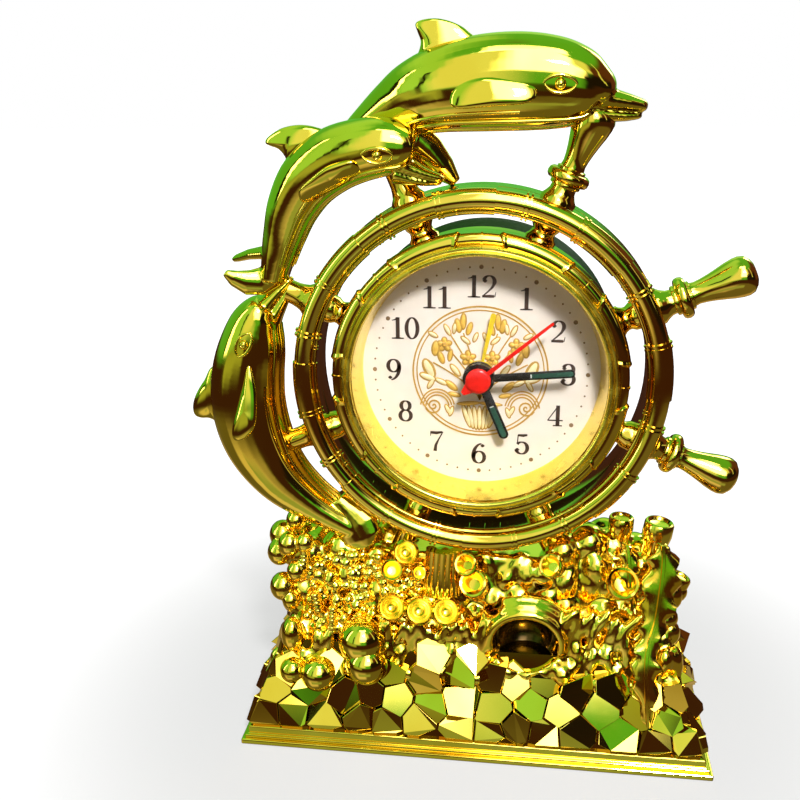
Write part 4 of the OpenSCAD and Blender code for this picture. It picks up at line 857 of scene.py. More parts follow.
def fin_plate(name, outline, thick, tip_share):
    """A fin with a smooth outline through (x, y, depth) points, thinner away from the first of them."""
    points = [Vector(p) for p in outline]
    n = len(points)
    edge = []
    for i in range(n):
        a, b, c, d = points[i - 1], points[i], points[(i + 1) % n], points[(i + 2) % n]
        edge += [through(a, b, c, d, t) for t in (0, 0.2, 0.4, 0.6, 0.8)]
    middle = sum(edge, Vector()) / len(edge)
    far = max((p - points[0]).length for p in edge)
    rings = []
    for side, scale in FIN_RINGS:
        ring = []
        for p in edge:
            q = middle + (p - middle) * scale
            thin = 1 - (1 - tip_share) * (q - points[0]).length / far
            ring.append(at_helm(q.x, q.y, q.z + side * thick * thin))
        rings.append(ring)
    return loft(name, rings)


def upright(outline):
    """A fin's outline of (angle, offset) points on the parting plane."""
    return [(*around(*p), 0.0) for p in outline]


def at_depth(outline, depth):
    """A fin's outline of (x, y) points at one depth."""
    return [(x, y, depth) for x, y in outline]


def eye(piece, x, y, turn, half_wide, half_high, half):
    """A lidded eye laid on a head: a ball with a ringed pupil between two lids with drawn-out ends."""
    place, normal = piece.ray_cast(at_helm(x, y, EYE_REACH * half), Vector((0, half, 0)))[1:3]
    c, s = math.cos(math.radians(turn)), math.sin(math.radians(turn))
    across = (Vector((c, 0, s)) - normal * Vector((c, 0, s)).dot(normal)).normalized()
    upwards = normal.cross(across) * -1
    if upwards.z < 0 and abs(turn) < 45:
        upwards = -upwards

    def on_skin(u, v, lift):
        point = place + (across * u + upwards * v) * MM
        hit, found = piece.ray_cast(point + normal * 4 * MM, -normal)[:2]
        return (found if hit else point) + normal * lift * MM

    lids = []
    for sign, fat, reach in ((1, 0.42, 1.0), (-1, 0.34, 0.92)):
        centres = [on_skin(half_wide * reach * -math.cos(t), sign * half_high * math.sin(t) ** 1.25, 0.12)
                   for t in (math.pi * k / LID_STEPS for k in range(LID_STEPS + 1))]
        rings = []
        for k, centre in enumerate(centres):
            along = (centres[min(k + 1, LID_STEPS)] - centres[max(k - 1, 0)]).normalized()
            aside = along.cross(normal).normalized()
            size = fat * (0.35 + 0.65 * math.sin(math.pi * k / LID_STEPS)) * MM
            rings.append([centre + (aside * math.cos(q) + normal * math.sin(q)) * size
                          for q in circle(LID_SIDES)])
        lids.append(loft("lid", rings))
    middle = on_skin(0, 0, 0) / MM
    r = half_high * 0.72
    lids.append(ball("eyeball", middle - normal * r * 0.35, r, rings=14))
    fresh()
    bpy.ops.mesh.primitive_torus_add(major_radius=r * 0.45 * MM, minor_radius=r * 0.12 * MM,
                                     major_segments=24, minor_segments=8)
    ring = bpy.context.object
    ring.matrix_world = aimed(*(middle + normal * r * 0.52), normal)
    lids.append(settle(ring, "pupil"))
    return dress(smooth(join(lids, piece.name + ("_eye" if half > 0 else "_rear_eye")), 60), dolphin_gold)


def leaping_dolphin(name, body, lobes, dorsal, flipper, flipper_thick, ribs, eye_place):
    """Melts body, jaws and tail into one skin, sets fins and ribs on it, and lays an eye on each half."""
    pieces = [swept_body("body", body)] + [lobe("lobe", joints) for joints in lobes]
    skin = fuse(pieces, name, BODY_VOXEL, rounds=6)
    fins = [fin_plate("dorsal", *dorsal)]
    for half in (1, -1):
        outline = [(x, y, half * d) for x, y, d in flipper]
        fins.append(fin_plate("flipper", outline, flipper_thick, FLIPPER_TIP))
    for share, radius, start in ribs:
        fins += belly_rib(body, share, radius, start)
    dolphin = smooth(join([skin] + fins, name), 60)
    dress(dolphin, dolphin_gold, name + "_front", name + "_rear")
    for half in (1, -1):
        eye(dolphin, *eye_place, half)


# bodies from nose to tail: angle round the wheel, offset from the rim, half height and depth of the middle
UPPER_BODY = [(67.4, 22.0, 2.6, 0), (68.6, 22.6, 4.6, 0), (70.6, 22.6, 6.6, 0), (73.6, 22.4, 8, 0),
              (77.5, 22, 8.9, 0), (83, 21.3, 9.4, 0), (90, 20.6, 9.3, 0), (97.5, 20.1, 8.5, 0),
              (103.5, 19.4, 7.4, -0.8), (108.5, 18.4, 6, -2.5), (114, 17.2, 4.7, -4), (120, 16, 3.6, -5),
              (125, 14.5, 2.8, -5)]
MIDDLE_BODY = [(105.8, 9.2, 2.6, 4), (106.8, 9.8, 4.0, 4), (108.8, 10.9, 5.1, 4), (112.6, 12.5, 5.9, 4),
               (118, 13.9, 6.3, 3.5), (124, 15.0, 6.6, 2.5), (131, 15.1, 6.3, 1.5), (138, 13.75, 5.45, 0.6),
               (144.6, 11.8, 4.5, 0), (150.3, 10.3, 3.7, 0), (156, 9.1, 2.9, 0)]
LOWER_BODY = [(163.2, 9.0, 2.8, 0), (165.4, 9.8, 4.6, 0), (169.4, 10.7, 6.1, 0), (175, 11.3, 7.4, 0),
              (181.5, 12.4, 8.1, 0), (188, 13.4, 8.4, 0), (194.6, 13.9, 8.3, 0), (200.6, 13.9, 7.9, 0),
              (206.8, 13.4, 7, 0), (213, 12.3, 6, 0), (220.8, 10.3, 4.6, 0), (228.3, 8.6, 3.7, 0),
              (235, 7.5, 3, 0)]
# jaws and flukes: place, half height, half depth and depth of each joint
UPPER_LOBES = ([(20.5, 59.3, 3.6, 5.2, 0), (25, 58.5, 2.5, 4.0, 0), (29.5, 57.75, 1.75, 2.9, 0),
                (32.2, 57.2, 1.25, 2.0, 0), (33.0, 57.0, 0.7, 1.1, 0)],
               [(-20, 55.5, 3.0, 2.5, -3), (-16.2, 51.8, 3.8, 2.6, -4), (-12.4, 48.0, 3.9, 2.4, -4.6),
                (-9.0, 44.2, 3.0, 2.0, -5), (-6.0, 41.2, 1.2, 1.2, -5.4)],
               [(20.5, 56.2, 2.4, 4.6, 0), (25, 55.5, 1.5, 3.4, 0), (29, 55.25, 1.05, 2.5, 0),
                (31.2, 55.3, 0.75, 1.7, 0), (32, 55.4, 0.45, 0.9, 0)])
MIDDLE_LOBES = ([(-18, 46.6, 3.0, 4.2, 4), (-14.5, 45.1, 1.85, 3.2, 4), (-11.5, 44.0, 1.3, 2.4, 4),
                 (-8.6, 43.2, 0.85, 1.5, 4), (-7.7, 43.0, 0.45, 0.8, 4)],
                [(-18, 44.3, 2.4, 3.8, 4), (-14.5, 43.1, 1.35, 2.9, 4), (-11.5, 42.5, 0.95, 2.1, 4),
                 (-9.1, 42.3, 0.65, 1.3, 4), (-8.3, 42.3, 0.35, 0.7, 4)],
                [(-45.6, 25.2, 1.8, 2.6, -0.6), (-49, 26.1, 1.5, 2.4, -1.6), (-52.6, 25.4, 1.2, 2.0, -2.8),
                 (-55.8, 24.3, 0.9, 1.3, -3.8), (-57, 23.8, 0.5, 0.7, -4.2)],
                [(-45.4, 21.6, 2.6, 2.4, 0.6), (-48.6, 20.3, 3.2, 2.1, 1.9), (-51.6, 20.2, 2.9, 1.8, 3.0),
                 (-54.4, 21.4, 1.9, 1.3, 4.0), (-56.2, 22.7, 0.8, 0.8, 4.6)])
LOWER_LOBES = ([(-51.5, 10.5, 3.6, 4.6, 0), (-48.3, 14.6, 2.4, 3.3, 0), (-45.2, 17.9, 1.5, 2.3, 0),
                (-42.8, 20.2, 0.85, 1.4, 0), (-42.1, 20.9, 0.45, 0.7, 0)],
               [(-48.8, 8.5, 2.8, 4.2, 0), (-46.2, 12.6, 1.7, 2.9, 0), (-43.9, 16.2, 1.0, 1.9, 0),
                (-42.3, 18.8, 0.6, 1.2, 0), (-41.8, 19.6, 0.35, 0.7, 0)],
               [(-33.6, -32.0, 3.0, 3.2, 0.3), (-31.2, -35.2, 4.6, 2.9, 1.2), (-29.0, -38.2, 5.8, 2.4, 2.4),
                (-27.3, -41.0, 5.0, 1.7, 3.6), (-26.2, -43.0, 2.4, 0.9, 4.4)])
# flippers: place and depth of each point of the outline
UPPER_FLIPPER = [(2, 63.4, 7.4), (-3.2, 62.7, 7.4), (-6.0, 60.2, 7.8), (-5.2, 57.4, 8.6), (2.2, 57.7, 9.0),
                 (8.6, 58.2, 8.8), (10.8, 59.6, 8.2), (9.6, 61.9, 7.5)]
MIDDLE_FLIPPER = [(-31, 46.2, 10.3), (-34.4, 44.0, 10.0), (-37.6, 40.9, 9.2), (-36.6, 38.4, 7.4),
                  (-30.5, 41.0, 7.6), (-26.2, 43.4, 8.0), (-24.4, 45.2, 9.0), (-26.0, 47.3, 10.4)]
LOWER_FLIPPER = [(-51.4, 2.6, 6.8), (-52.8, -2, 7.4), (-54.4, -7.6, 8.2), (-55.7, -12.6, 9.0),
                 (-55.2, -15.0, 9.4), (-52.8, -14.4, 9.8), (-50.4, -12.0, 9.6), (-49.7, -8.0, 8.8),
                 (-49.9, -2.4, 7.8)]
UPPER_DORSAL = upright([(97, 22), (91.2, 27.6), (92.6, 30.4), (94.6, 32.2), (97.2, 33.5), (99.6, 33.8),
                        (100.8, 33.3), (100.7, 31.6), (100.5, 29.6), (101.6, 27.2), (104.0, 24.6)])
MIDDLE_DORSAL = at_depth([(-37, 48), (-32.0, 51.8), (-35.0, 53.4), (-38.8, 53.9), (-42.6, 53.2),
                          (-45.6, 51.4), (-46.2, 50.2), (-45.2, 49.6), (-43.4, 48.9), (-42.0, 47.2),
                          (-41.2, 44.6)], 1.6)
LOWER_DORSAL = at_depth([(-56, -6.5), (-61.8, -0.6), (-64.6, -4.0), (-66.6, -7.0), (-67.7, -9.6),
                         (-67.9, -11.6), (-67.4, -12.9), (-66.0, -13.4), (-64.0, -13.4), (-62.2, -14.4),
                         (-59, -17.6)], 0)
leaping_dolphin("upper_dolphin", UPPER_BODY, UPPER_LOBES, (UPPER_DORSAL, 2.2, 0.35), UPPER_FLIPPER,
                flipper_thick=1.3, ribs=((0.62, 0.42, 0.4), (0.82, 0.48, 0.1), (0.995, 0.5, 0.08)),
                eye_place=(15.4, 61.8, -3, 3.3, 1.7))
leaping_dolphin("middle_dolphin", MIDDLE_BODY, MIDDLE_LOBES, (MIDDLE_DORSAL, 2.4, 0.35), MIDDLE_FLIPPER,
                flipper_thick=1.0, ribs=((0.52, 0.42, 0.45), (0.76, 0.5, 0.12), (0.99, 0.48, 0.1)),
                eye_place=(-20.8, 48.3, -2, 3.3, 1.55))
leaping_dolphin("lower_dolphin", LOWER_BODY, LOWER_LOBES, (LOWER_DORSAL, 2.4, 0.4), LOWER_FLIPPER,
                flipper_thick=1.1, ribs=((0.72, 0.42, 0.34), (0.9, 0.48, 0.1), (0.995, 0.5, 0.08)),
                eye_place=(-52.4, 6.9, 62, 3.1, 1.6))

# Bezel and lens
# The bezel is a plated ring pressed into the drum, with two fine beads on its lip and a funnel to the dial.
# A flat clear disc, 1 mm thick, is held under the lip.
DIAL_SEEN_R, LENS_R, LENS_LOW, LENS_T, LENS_EDGE, LENS_AXIS_R = 26.6, 28.6, 8.2, 1.0, 0.1, 0.001
bezel_gold = plating("bezel_gold", (0.95, 0.74, 0.13), (0.92, 0.68, 0.09), rough=0.2, peel=0.0)
bezel = turned("bezel", [(29.3, 0), (29.3, HALF_T + 0.05), (30.1, HALF_T + 0.05), (30.15, 8.7), (30.0, 9.2),
                         (29.7, 9.5), (29.4, 9.45), (29.25, 9.15), (29.1, 9.2), (28.95, 9.6), (28.7, 9.9),
                         (28.4, 9.95), (28.15, 9.85), (27.95, 9.6), (27.85, 9.25), (28.7, 9.22), (28.7, 8.18),
                         (27.8, 8.15), (27.65, 7.4), (27.2, 4.0), (26.8, 1.2), (DIAL_SEEN_R, 0.2),
                         (DIAL_SEEN_R, 0)], steps=160)
dress(smooth(bezel, 40), bezel_gold, "bezel_ring")

lens_top = LENS_LOW + LENS_T
lens = turned("clear_lens", [(LENS_AXIS_R, LENS_LOW), (LENS_R - LENS_EDGE, LENS_LOW),
                             (LENS_R, LENS_LOW + LENS_EDGE), (LENS_R, lens_top - LENS_EDGE),
                             (LENS_R - LENS_EDGE, lens_top), (LENS_AXIS_R, lens_top)],
              steps=96)
lens_finish, lens_tree, clear = new_finish("clear_lens")
film = rescale(lens_tree, noise(lens_tree, scale=500.0, detail=2.0), 0.4, 0.8, 0.0, 0.02)
feed(lens_tree, clear, {"Base Color": (1, 1, 1, 1), "Transmission Weight": 1.0, "IOR": 1.12,
                        "Roughness": film})
finish_piece(lens, lens_finish)
lens.visible_shadow = False
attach(lens, "clock")
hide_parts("lens")

# Dial
# The dial is a card printed in brown on cream, with numerals, hour dots and minute dots.
# A round ornament is pressed into its middle: a double ring round an urn with flowers, leaves and scrolls.
DIAL_R, DIAL_HOLE_R, DIAL_T = 29.1, 2.55, 0.8
NUMERAL_R, NUMERAL_H, NUMERAL_WIDE, DOT_R, EMBLEM_R = 19.6, 5.0, 1.24, 23.9, 14.9
FIGURE_STEP, FIGURE_MIDDLE, THICK, THIN = 0.54, 0.28, 0.175, 0.055
INK_LOW, INK_HIGH = 0.01, 0.07
HOUR_DOT_R, MINUTE_DOT_R, DOT_HIGH, DOT_SIDES = 0.5, 0.22, 0.06, 12


def mottled(name, colour, other, scale, rough, shine=0.5):
    """A printed or painted finish with a faint mottle in its colour and gloss."""
    finish, tree, shader = new_finish(name)
    cloud = noise(tree, scale=scale, detail=5.0)
    feed(tree, shader, {
        "Base Color": two_tone(tree, cloud, 0.35, other, 0.65, colour),
        "Roughness": rescale(tree, cloud, 0.0, 1.0, rough * 0.8, min(1.0, rough * 1.2)),
        "Specular IOR Level": shine,
    })
    return finish


def printed(piece, finish):
    """Fixes a printed or pressed piece to the dial."""
    finish_piece(piece, finish)
    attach(piece, "clock")
    return piece


card_cream = mottled("card_cream", (0.90, 0.82, 0.73), (0.87, 0.785, 0.69), scale=300.0, rough=0.5)
dial_card = turned("dial_card", [(DIAL_HOLE_R, -DIAL_T), (DIAL_R, -DIAL_T), (DIAL_R, 0), (DIAL_HOLE_R, 0)],
                   steps=96)
printed(smooth(dial_card, 30), card_cream)
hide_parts("dial")


def slab(name, outline, low, high):
    """A flat piece from an outline in the helm's plane, between two depths."""
    return loft(name, [[at_helm(x, y, d) for x, y in outline] for d in (low, high)])


def ribbon(name, points, low=INK_LOW, high=INK_HIGH):
    """A stroke of changing width through (x, y, width) points."""
    rings = []
    for i, (x, y, w) in enumerate(points):
        a, b = points[max(i - 1, 0)], points[min(i + 1, len(points) - 1)]
        across = Vector((a[1] - b[1], b[0] - a[0])).normalized() * w / 2
        rings.append([at_helm(x + side * across.x, y + side * across.y, d)
                      for side, d in ((1, low), (-1, low), (-1, high), (1, high))])
    return loft(name, rings)


def bowl(cx, cy, rx, ry, start, end, count=22):
    """A stroke along an oval, thick at its sides and thin at its top and foot."""
    stroke = []
    for k in range(count + 1):
        t = math.radians(start + (end - start) * k / count)
        stroke.append((cx + rx * math.cos(t), cy + ry * math.sin(t),
                       THIN + (THICK - THIN) * abs(math.cos(t)) ** 1.3))
    return stroke


def dot(cx, cy, r):
    """A round end of a stroke."""
    return [(cx - r + 2 * r * k / 8, cy, max(0.01, 2 * r * math.sin(math.pi * k / 8))) for k in range(9)]


# strokes of each figure, of a height of 1: place and width of each point
FIGURES = {
    "0": [bowl(0.28, 0.5, 0.20, 0.48, 0, 360, 36)],
    "1": [[(0.30, 0, THICK), (0.30, 0.99, THICK)],
          [(0.30, 0.97, 0.07), (0.20, 0.88, 0.06), (0.09, 0.85, 0.03)],
          [(0.08, 0.025, THIN), (0.52, 0.025, THIN)], [(0.18, 0.05, 0.03), (0.42, 0.05, 0.03)]],
    "2": [dot(0.14, 0.75, 0.085), bowl(0.29, 0.72, 0.19, 0.25, 165, -25),
          [(0.462, 0.614, 0.14), (0.40, 0.46, 0.11), (0.26, 0.28, 0.07), (0.10, 0.10, 0.06),
           (0.06, 0.06, 0.06)],
          [(0.05, 0.06, 0.10), (0.30, 0.065, 0.13), (0.47, 0.06, 0.12)],
          [(0.49, 0.03, 0.05), (0.53, 0.25, 0.03)]],
    "3": [dot(0.13, 0.78, 0.08), bowl(0.27, 0.74, 0.18, 0.23, 160, -70),
          bowl(0.27, 0.27, 0.21, 0.26, 80, -165), dot(0.11, 0.22, 0.085),
          [(0.20, 0.525, THIN), (0.33, 0.525, THIN)]],
    "4": [[(0.385, 0, THICK), (0.385, 0.99, THICK)], [(0.40, 0.98, 0.05), (0.03, 0.28, 0.05)],
          [(0.02, 0.275, 0.06), (0.57, 0.275, 0.06)], [(0.22, 0.025, THIN), (0.55, 0.025, THIN)]],
    "5": [[(0.13, 0.93, 0.10), (0.32, 0.92, 0.13), (0.47, 0.95, 0.09)],
          [(0.135, 0.95, 0.05), (0.11, 0.50, 0.05)], bowl(0.27, 0.31, 0.21, 0.29, 140, -165),
          dot(0.11, 0.22, 0.085)],
    "6": [bowl(0.28, 0.30, 0.20, 0.29, 0, 360, 36), bowl(0.40, 0.36, 0.33, 0.61, 190, 95),
          dot(0.41, 0.87, 0.08)],
    "7": [[(0.06, 0.92, 0.12), (0.28, 0.90, 0.14), (0.50, 0.95, 0.09)],
          [(0.065, 0.98, 0.05), (0.05, 0.74, 0.03)],
          [(0.51, 0.95, 0.05), (0.36, 0.60, 0.07), (0.25, 0.30, 0.13), (0.22, 0.0, 0.17)]],
    "8": [bowl(0.28, 0.745, 0.16, 0.225, 0, 360, 36), bowl(0.28, 0.265, 0.20, 0.265, 0, 360, 36)],
    "9": [bowl(0.28, 0.69, 0.20, 0.29, 0, 360, 36), bowl(0.16, 0.63, 0.33, 0.61, 10, -85),
          dot(0.15, 0.13, 0.08)],
}
ink = mottled("brown_ink", (0.055, 0.026, 0.016), (0.035, 0.017, 0.011), scale=900.0, rough=0.45)
print_work = []
for hour in range(1, 13):
    a = math.radians(90 - 30 * hour)
    number = str(hour)
    left_edge = -FIGURE_MIDDLE - FIGURE_STEP * (len(number) - 1) / 2
    for k, figure in enumerate(number):
        for stroke in FIGURES[figure]:
            print_work.append(ribbon("figure", [
                (NUMERAL_R * math.cos(a) + (left_edge + FIGURE_STEP * k + x) * NUMERAL_H * NUMERAL_WIDE,
                 NUMERAL_R * math.sin(a) + (y - 0.5) * NUMERAL_H, w * NUMERAL_H) for x, y, w in stroke]))
printed(join(print_work, "dial_figures"), ink)
dots = []
for minute in range(60):
    a = math.radians(6 * minute)
    size = MINUTE_DOT_R if minute % 5 else HOUR_DOT_R
    x, y = DOT_R * math.cos(a), DOT_R * math.sin(a)
    outline = [(x + size * math.cos(t), y + size * math.sin(t)) for t in circle(DOT_SIDES)]
    dots.append(slab("dot", outline, INK_LOW, DOT_HIGH))
tan_ink = mottled("tan_ink", (0.20, 0.115, 0.05), (0.26, 0.16, 0.08), scale=900.0, rough=0.45)
printed(join(dots, "dial_dots"), tan_ink)

line_gold = mottled("pressed_line", (0.56, 0.33, 0.06), (0.48, 0.27, 0.04), scale=900.0, rough=0.4)
fill_gold = mottled("pressed_gold", (0.84, 0.55, 0.11), (0.76, 0.46, 0.07), scale=900.0, rough=0.35)
fill_cream = mottled("pressed_cream", (0.92, 0.82, 0.52), (0.90, 0.77, 0.42), scale=900.0, rough=0.4)


def leaf(x, y, angle, length, width, thick=0.28):
    """A pressed leaf or petal: a flattened drop lying on the dial."""
    a = math.radians(angle)
    return ball("leaf", at_helm(x + length / 2 * math.cos(a), y + length / 2 * math.sin(a), 0.0) / MM,
                length / 2, (1, thick / (length / 2), width / length), (0, -a, 0), rings=8)


STEM_HIGH = 0.14


def stem(points, width):
    """A pressed stem through points."""
    return ribbon("stem", [(x, y, width) for x, y in points], low=0.0, high=STEM_HIGH)


ornament_lines = []
for inner, outer, high in ((EMBLEM_R, EMBLEM_R + 0.38, 0.12), (EMBLEM_R - 0.8, EMBLEM_R - 0.5, 0.1)):
    ornament_lines.append(turned("ring", [(inner, 0), (outer, 0), (outer, high), (inner, high)], steps=96))
ornament_gold, ornament_cream = [], []


def edged_leaf(x, y, angle, length, width, fill, thick=0.3):
    """A leaf or petal whose fill leaves a thin line round it."""
    a = math.radians(angle)
    ornament_lines.append(leaf(x, y, angle, length, width, thick * 0.5))
    fill.append(leaf(x + 0.3 * math.cos(a), y + 0.3 * math.sin(a), angle, length - 0.6, width * 0.62, thick))


def rose(x, y, size):
    """A rosette of five gold petals round a ringed bud."""
    for k in range(5):
        edged_leaf(x, y, 72 * k + 20, size, size * 0.8, ornament_gold, thick=0.34)
    ornament_lines.append(ball("bud", at_helm(x, y, 0.2) / MM, size * 0.36, (1, 0.8, 1), rings=8))
    ornament_gold.append(ball("bud", at_helm(x, y, 0.42) / MM, size * 0.22, (1, 0.8, 1), rings=8))


# the flutes of the urn, and its lip
for k in range(7):
    t = (k - 3) / 3
    edged_leaf(2.0 * t, -14.1 + 0.6 * t * t, 90 - 18 * t, 6.2, 1.5, ornament_cream, thick=0.42)
edged_leaf(-5.3, -7.7, 4, 5.6, 1.1, ornament_gold, thick=0.4)
edged_leaf(5.3, -7.7, 176, 5.6, 1.1, ornament_gold, thick=0.4)
# place of the root, direction, length and width of each leaf of the right half
GOLD_LEAVES = ((4.6, 8.9, 78, 3.2, 1.3), (3.0, 8.4, 108, 3.0, 1.1), (3.9, 9.6, 92, 3.6, 1.2),
               (10.2, 3.4, 96, 3.4, 1.5), (8.2, 1.6, 70, 3.0, 1.2), (7.0, 2.2, 100, 2.8, 1.0),
               (5.0, -4.6, 40, 3.4, 1.3), (4.2, -5.8, 12, 2.8, 1.0))
CREAM_LEAVES = ((6.6, 8.2, 62, 2.9, 1.0), (6.0, 8.6, 98, 2.6, 0.9), (2.2, 6.4, 40, 2.6, 1.0),
                (1.6, 6.8, 112, 2.4, 0.9), (9.4, 7.8, 30, 2.4, 1.0), (10.4, -1.8, 64, 4.6, 2.0),
                (9.8, -2.2, 20, 3.8, 1.5), (4.4, -1.2, 52, 3.4, 1.2), (7.2, -3.2, 25, 3.0, 1.1),
                (6.4, -10.6, 62, 2.8, 1.0), (6.9, -10.9, 108, 2.6, 0.9), (11.9, -4.4, 120, 2.8, 1.0))
STEM_TIPS = ((8.0, 6.2), (2.7, 3.2), (3.8, 9.0), (10.6, 2.0), (6.6, 8.4))
STEM_FOOT, STEM_WIDE, LEAF_LONGER, LEAF_WIDER = -6.6, 0.32, 1.12, 1.35
SCROLL_X, SCROLL_Y, SCROLL_R, SCROLL_STEPS, SCROLL_TURN, SCROLL_WIDE = 10.5, -8.3, 2.0, 30, 0.42, 0.4
FAN_X, FAN_Y, FAN_REACHES, FAN_WIDE = 9.6, -8.8, (2.7, 3.3, 3.9), 0.34
ROSES = ((8.0, 6.2, 1.9), (2.7, 3.2, 1.95))
for side in (-1, 1):
    for leaves, fill in ((GOLD_LEAVES, ornament_gold), (CREAM_LEAVES, ornament_cream)):
        for x, y, angle, length, width in leaves:
            turn = angle if side > 0 else 180 - angle
            edged_leaf(side * x, y, turn, length * LEAF_LONGER, width * LEAF_WIDER, fill)
    for x, y, size in ROSES:
        rose(side * x, y, size)
    scroll = []
    for k in range(SCROLL_STEPS):
        r, t = SCROLL_R * (k / SCROLL_STEPS), SCROLL_TURN * k
        scroll.append((side * (SCROLL_X + r * math.cos(t)), SCROLL_Y + r * math.sin(t)))
    ornament_lines.append(stem(scroll, SCROLL_WIDE))
    for reach in FAN_REACHES:
        ornament_lines.append(stem([(side * (FAN_X + reach * math.cos(t)), FAN_Y + reach * 1.15 * math.sin(t))
                                    for t in (math.radians(8 + 160 * k / 18) for k in range(19))], FAN_WIDE))
    for tip_x, tip_y in STEM_TIPS:
        ornament_lines.append(stem([(side * tip_x * t ** 1.5, STEM_FOOT + (tip_y - STEM_FOOT) * t)
                                    for t in (k / 14 for k in range(15))], STEM_WIDE))
printed(smooth(join(ornament_lines, "dial_ornament_lines"), 50), line_gold)
printed(smooth(join(ornament_gold, "dial_ornament_gold"), 50), fill_gold)
printed(smooth(join(ornament_cream, "dial_ornament_cream"), 50), fill_cream)

# Hands
# Four stamped hands stand over each other on nested pipes: a yellow alarm hand, black hour and minute hands
# with a dark green glow strip, and a red second hand with a round cap, all enamelled.
ALARM_D, HOUR_D, MINUTE_D, SECOND_D = 1.6, 3.2, 4.8, 6.4
HUB_R, HUB_T, HUB_ROUND, BLADE_LIFT, BLADE_T, STRIP_T = 3.5, 0.8, 0.15, 0.2, 0.4, 0.05
HOUR_ANGLE, MINUTE_ANGLE, SECOND_ANGLE, ALARM_ANGLE = -67.0, 5.17, 40.2, 78.0
ALARM_PIPE_R, HOUR_PIPE_R, MINUTE_PIPE_R, ALARM_HUB_R = 2.25, 1.65, 1.05, 3.25


def hand_outline(start, length, wide_start, wide_end, round_end=True):
    """The outline of a blade along x, with a round or square end."""
    far = length - wide_end / 2 if round_end else length
    outline = [(start, -wide_start / 2), (far, -wide_end / 2)]
    if round_end:
        outline += [(far + wide_end / 2 * math.cos(t), wide_end / 2 * math.sin(t))
                    for t in (math.pi * (k / 8 - 0.5) for k in range(1, 8))]
    return outline + [(far, wide_end / 2), (start, wide_start / 2)]


def swung(outline, angle):
    """An outline turned about the dial's centre."""
    c, s = math.cos(math.radians(angle)), math.sin(math.radians(angle))
    return [(x * c - y * s, x * s + y * c) for x, y in outline]


def round_hub(name, inner, outer, low, high):
    """A hub ring round a pipe."""
    return turned(name, [(inner, low), (outer, low), (outer, high - HUB_ROUND), (outer - HUB_ROUND, high),
                         (inner, high)], steps=48)


def blade_slab(name, outline, angle, d):
    """A blade at its angle, over the hub's foot at a depth."""
    return slab(name, swung(outline, angle), d + BLADE_LIFT, d + BLADE_LIFT + BLADE_T)


def enamel(name, colour, other):
    """Gloss enamel on a stamped hand."""
    return mottled(name, colour, other, scale=700.0, rough=0.22)


def hand(name, pieces, body, slot, node, *finishes):
    """Joins the pieces of a hand, each with its own finish, and lets it turn with its body."""
    for piece, finish in zip(pieces, finishes):
        finish_piece(piece, finish)
    whole = smooth(join(pieces, name), 40)
    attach(whole, body)
    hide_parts(node)


black = enamel("black_enamel", (0.012, 0.011, 0.010), (0.020, 0.017, 0.014))
glow_strip = mottled("dark_green_strip", (0.012, 0.055, 0.035), (0.02, 0.08, 0.05), scale=1500.0, rough=0.35)
strip_edge = mottled("strip_edge", (0.75, 0.78, 0.74), (0.65, 0.68, 0.62), scale=1500.0, rough=0.35)
red = enamel("red_enamel", (0.72, 0.012, 0.008), (0.62, 0.010, 0.006))
yellow = enamel("yellow_enamel", (0.80, 0.60, 0.035), (0.74, 0.52, 0.03))


def baton(name, d, pipe, length, width, angle, strip_from):
    """A black baton hand with its hub, its glow strip and the pale line at the strip's start."""
    blade = blade_slab(name, hand_outline(start=2.0, length=length, wide_start=width * 0.9, wide_end=width),
                       angle, d)
    modify(blade, "BEVEL", width=0.1 * MM, segments=2, limit_method="ANGLE", angle_limit=math.radians(60))
    top = d + BLADE_LIFT + BLADE_T
    strip = hand_outline(start=strip_from, length=length - 0.45, wide_start=width * 0.5,
                         wide_end=width * 0.55)
    edge = hand_outline(start=strip_from - 0.25, length=strip_from, wide_start=width * 0.42,
                        wide_end=width * 0.42, round_end=False)
    return [blade, round_hub(name, pipe, HUB_R, d, d + HUB_T),
            slab(name, swung(strip, angle), top, top + STRIP_T),
            slab(name, swung(edge, angle), top, top + STRIP_T)]


alarm_outline = hand_outline(start=2.6, length=14.4, wide_start=0.6, wide_end=1.2)
hand("alarm_blade", [blade_slab("alarm", alarm_outline, ALARM_ANGLE, ALARM_D),
                     round_hub("alarm", ALARM_PIPE_R, ALARM_HUB_R, ALARM_D, ALARM_D + HUB_T)],
     "alarm_hand", "gold_hand", "alarm_hand", yellow, yellow)
hour_baton = baton("hour", HOUR_D, HOUR_PIPE_R, length=15.6, width=2.2, angle=HOUR_ANGLE, strip_from=7.6)
hand("hour_blade", hour_baton, "hour_hand", "black_hand", "hour_hand", black, black, glow_strip, strip_edge)
minute_baton = baton("minute", MINUTE_D, MINUTE_PIPE_R, length=21.0, width=1.9, angle=MINUTE_ANGLE,
                     strip_from=11.6)
hand("minute_blade", minute_baton, "minute_hand", "black_hand", "minute_hand", black, black, glow_strip,
     strip_edge)
cap_outline = [(0.45, 0), (2.6, 0), (2.8, 0.15), (2.8, 0.75), (2.6, 1.0), (2.0, 1.15), (0, 1.25), (0, 0.9),
               (0.45, 0.6)]
second_cap = lathe("second", cap_outline,
                   Matrix.Translation(at_helm(0, 0, SECOND_D)) @ Matrix.Rotation(math.pi / 2, 4, "X"))
second_tail = [(-1.5, -1.8), (-1.5, 1.8), (-4.5, 0.5), (-4.5, -0.5)]
second_outline = hand_outline(start=1.5, length=20.8, wide_start=0.95, wide_end=0.6)
hand("second_blade", [blade_slab("second", second_outline, SECOND_ANGLE, SECOND_D),
                      blade_slab("second", second_tail, SECOND_ANGLE, SECOND_D), second_cap],
     "second_hand", "red_hand", "second_hand", red, red, red)

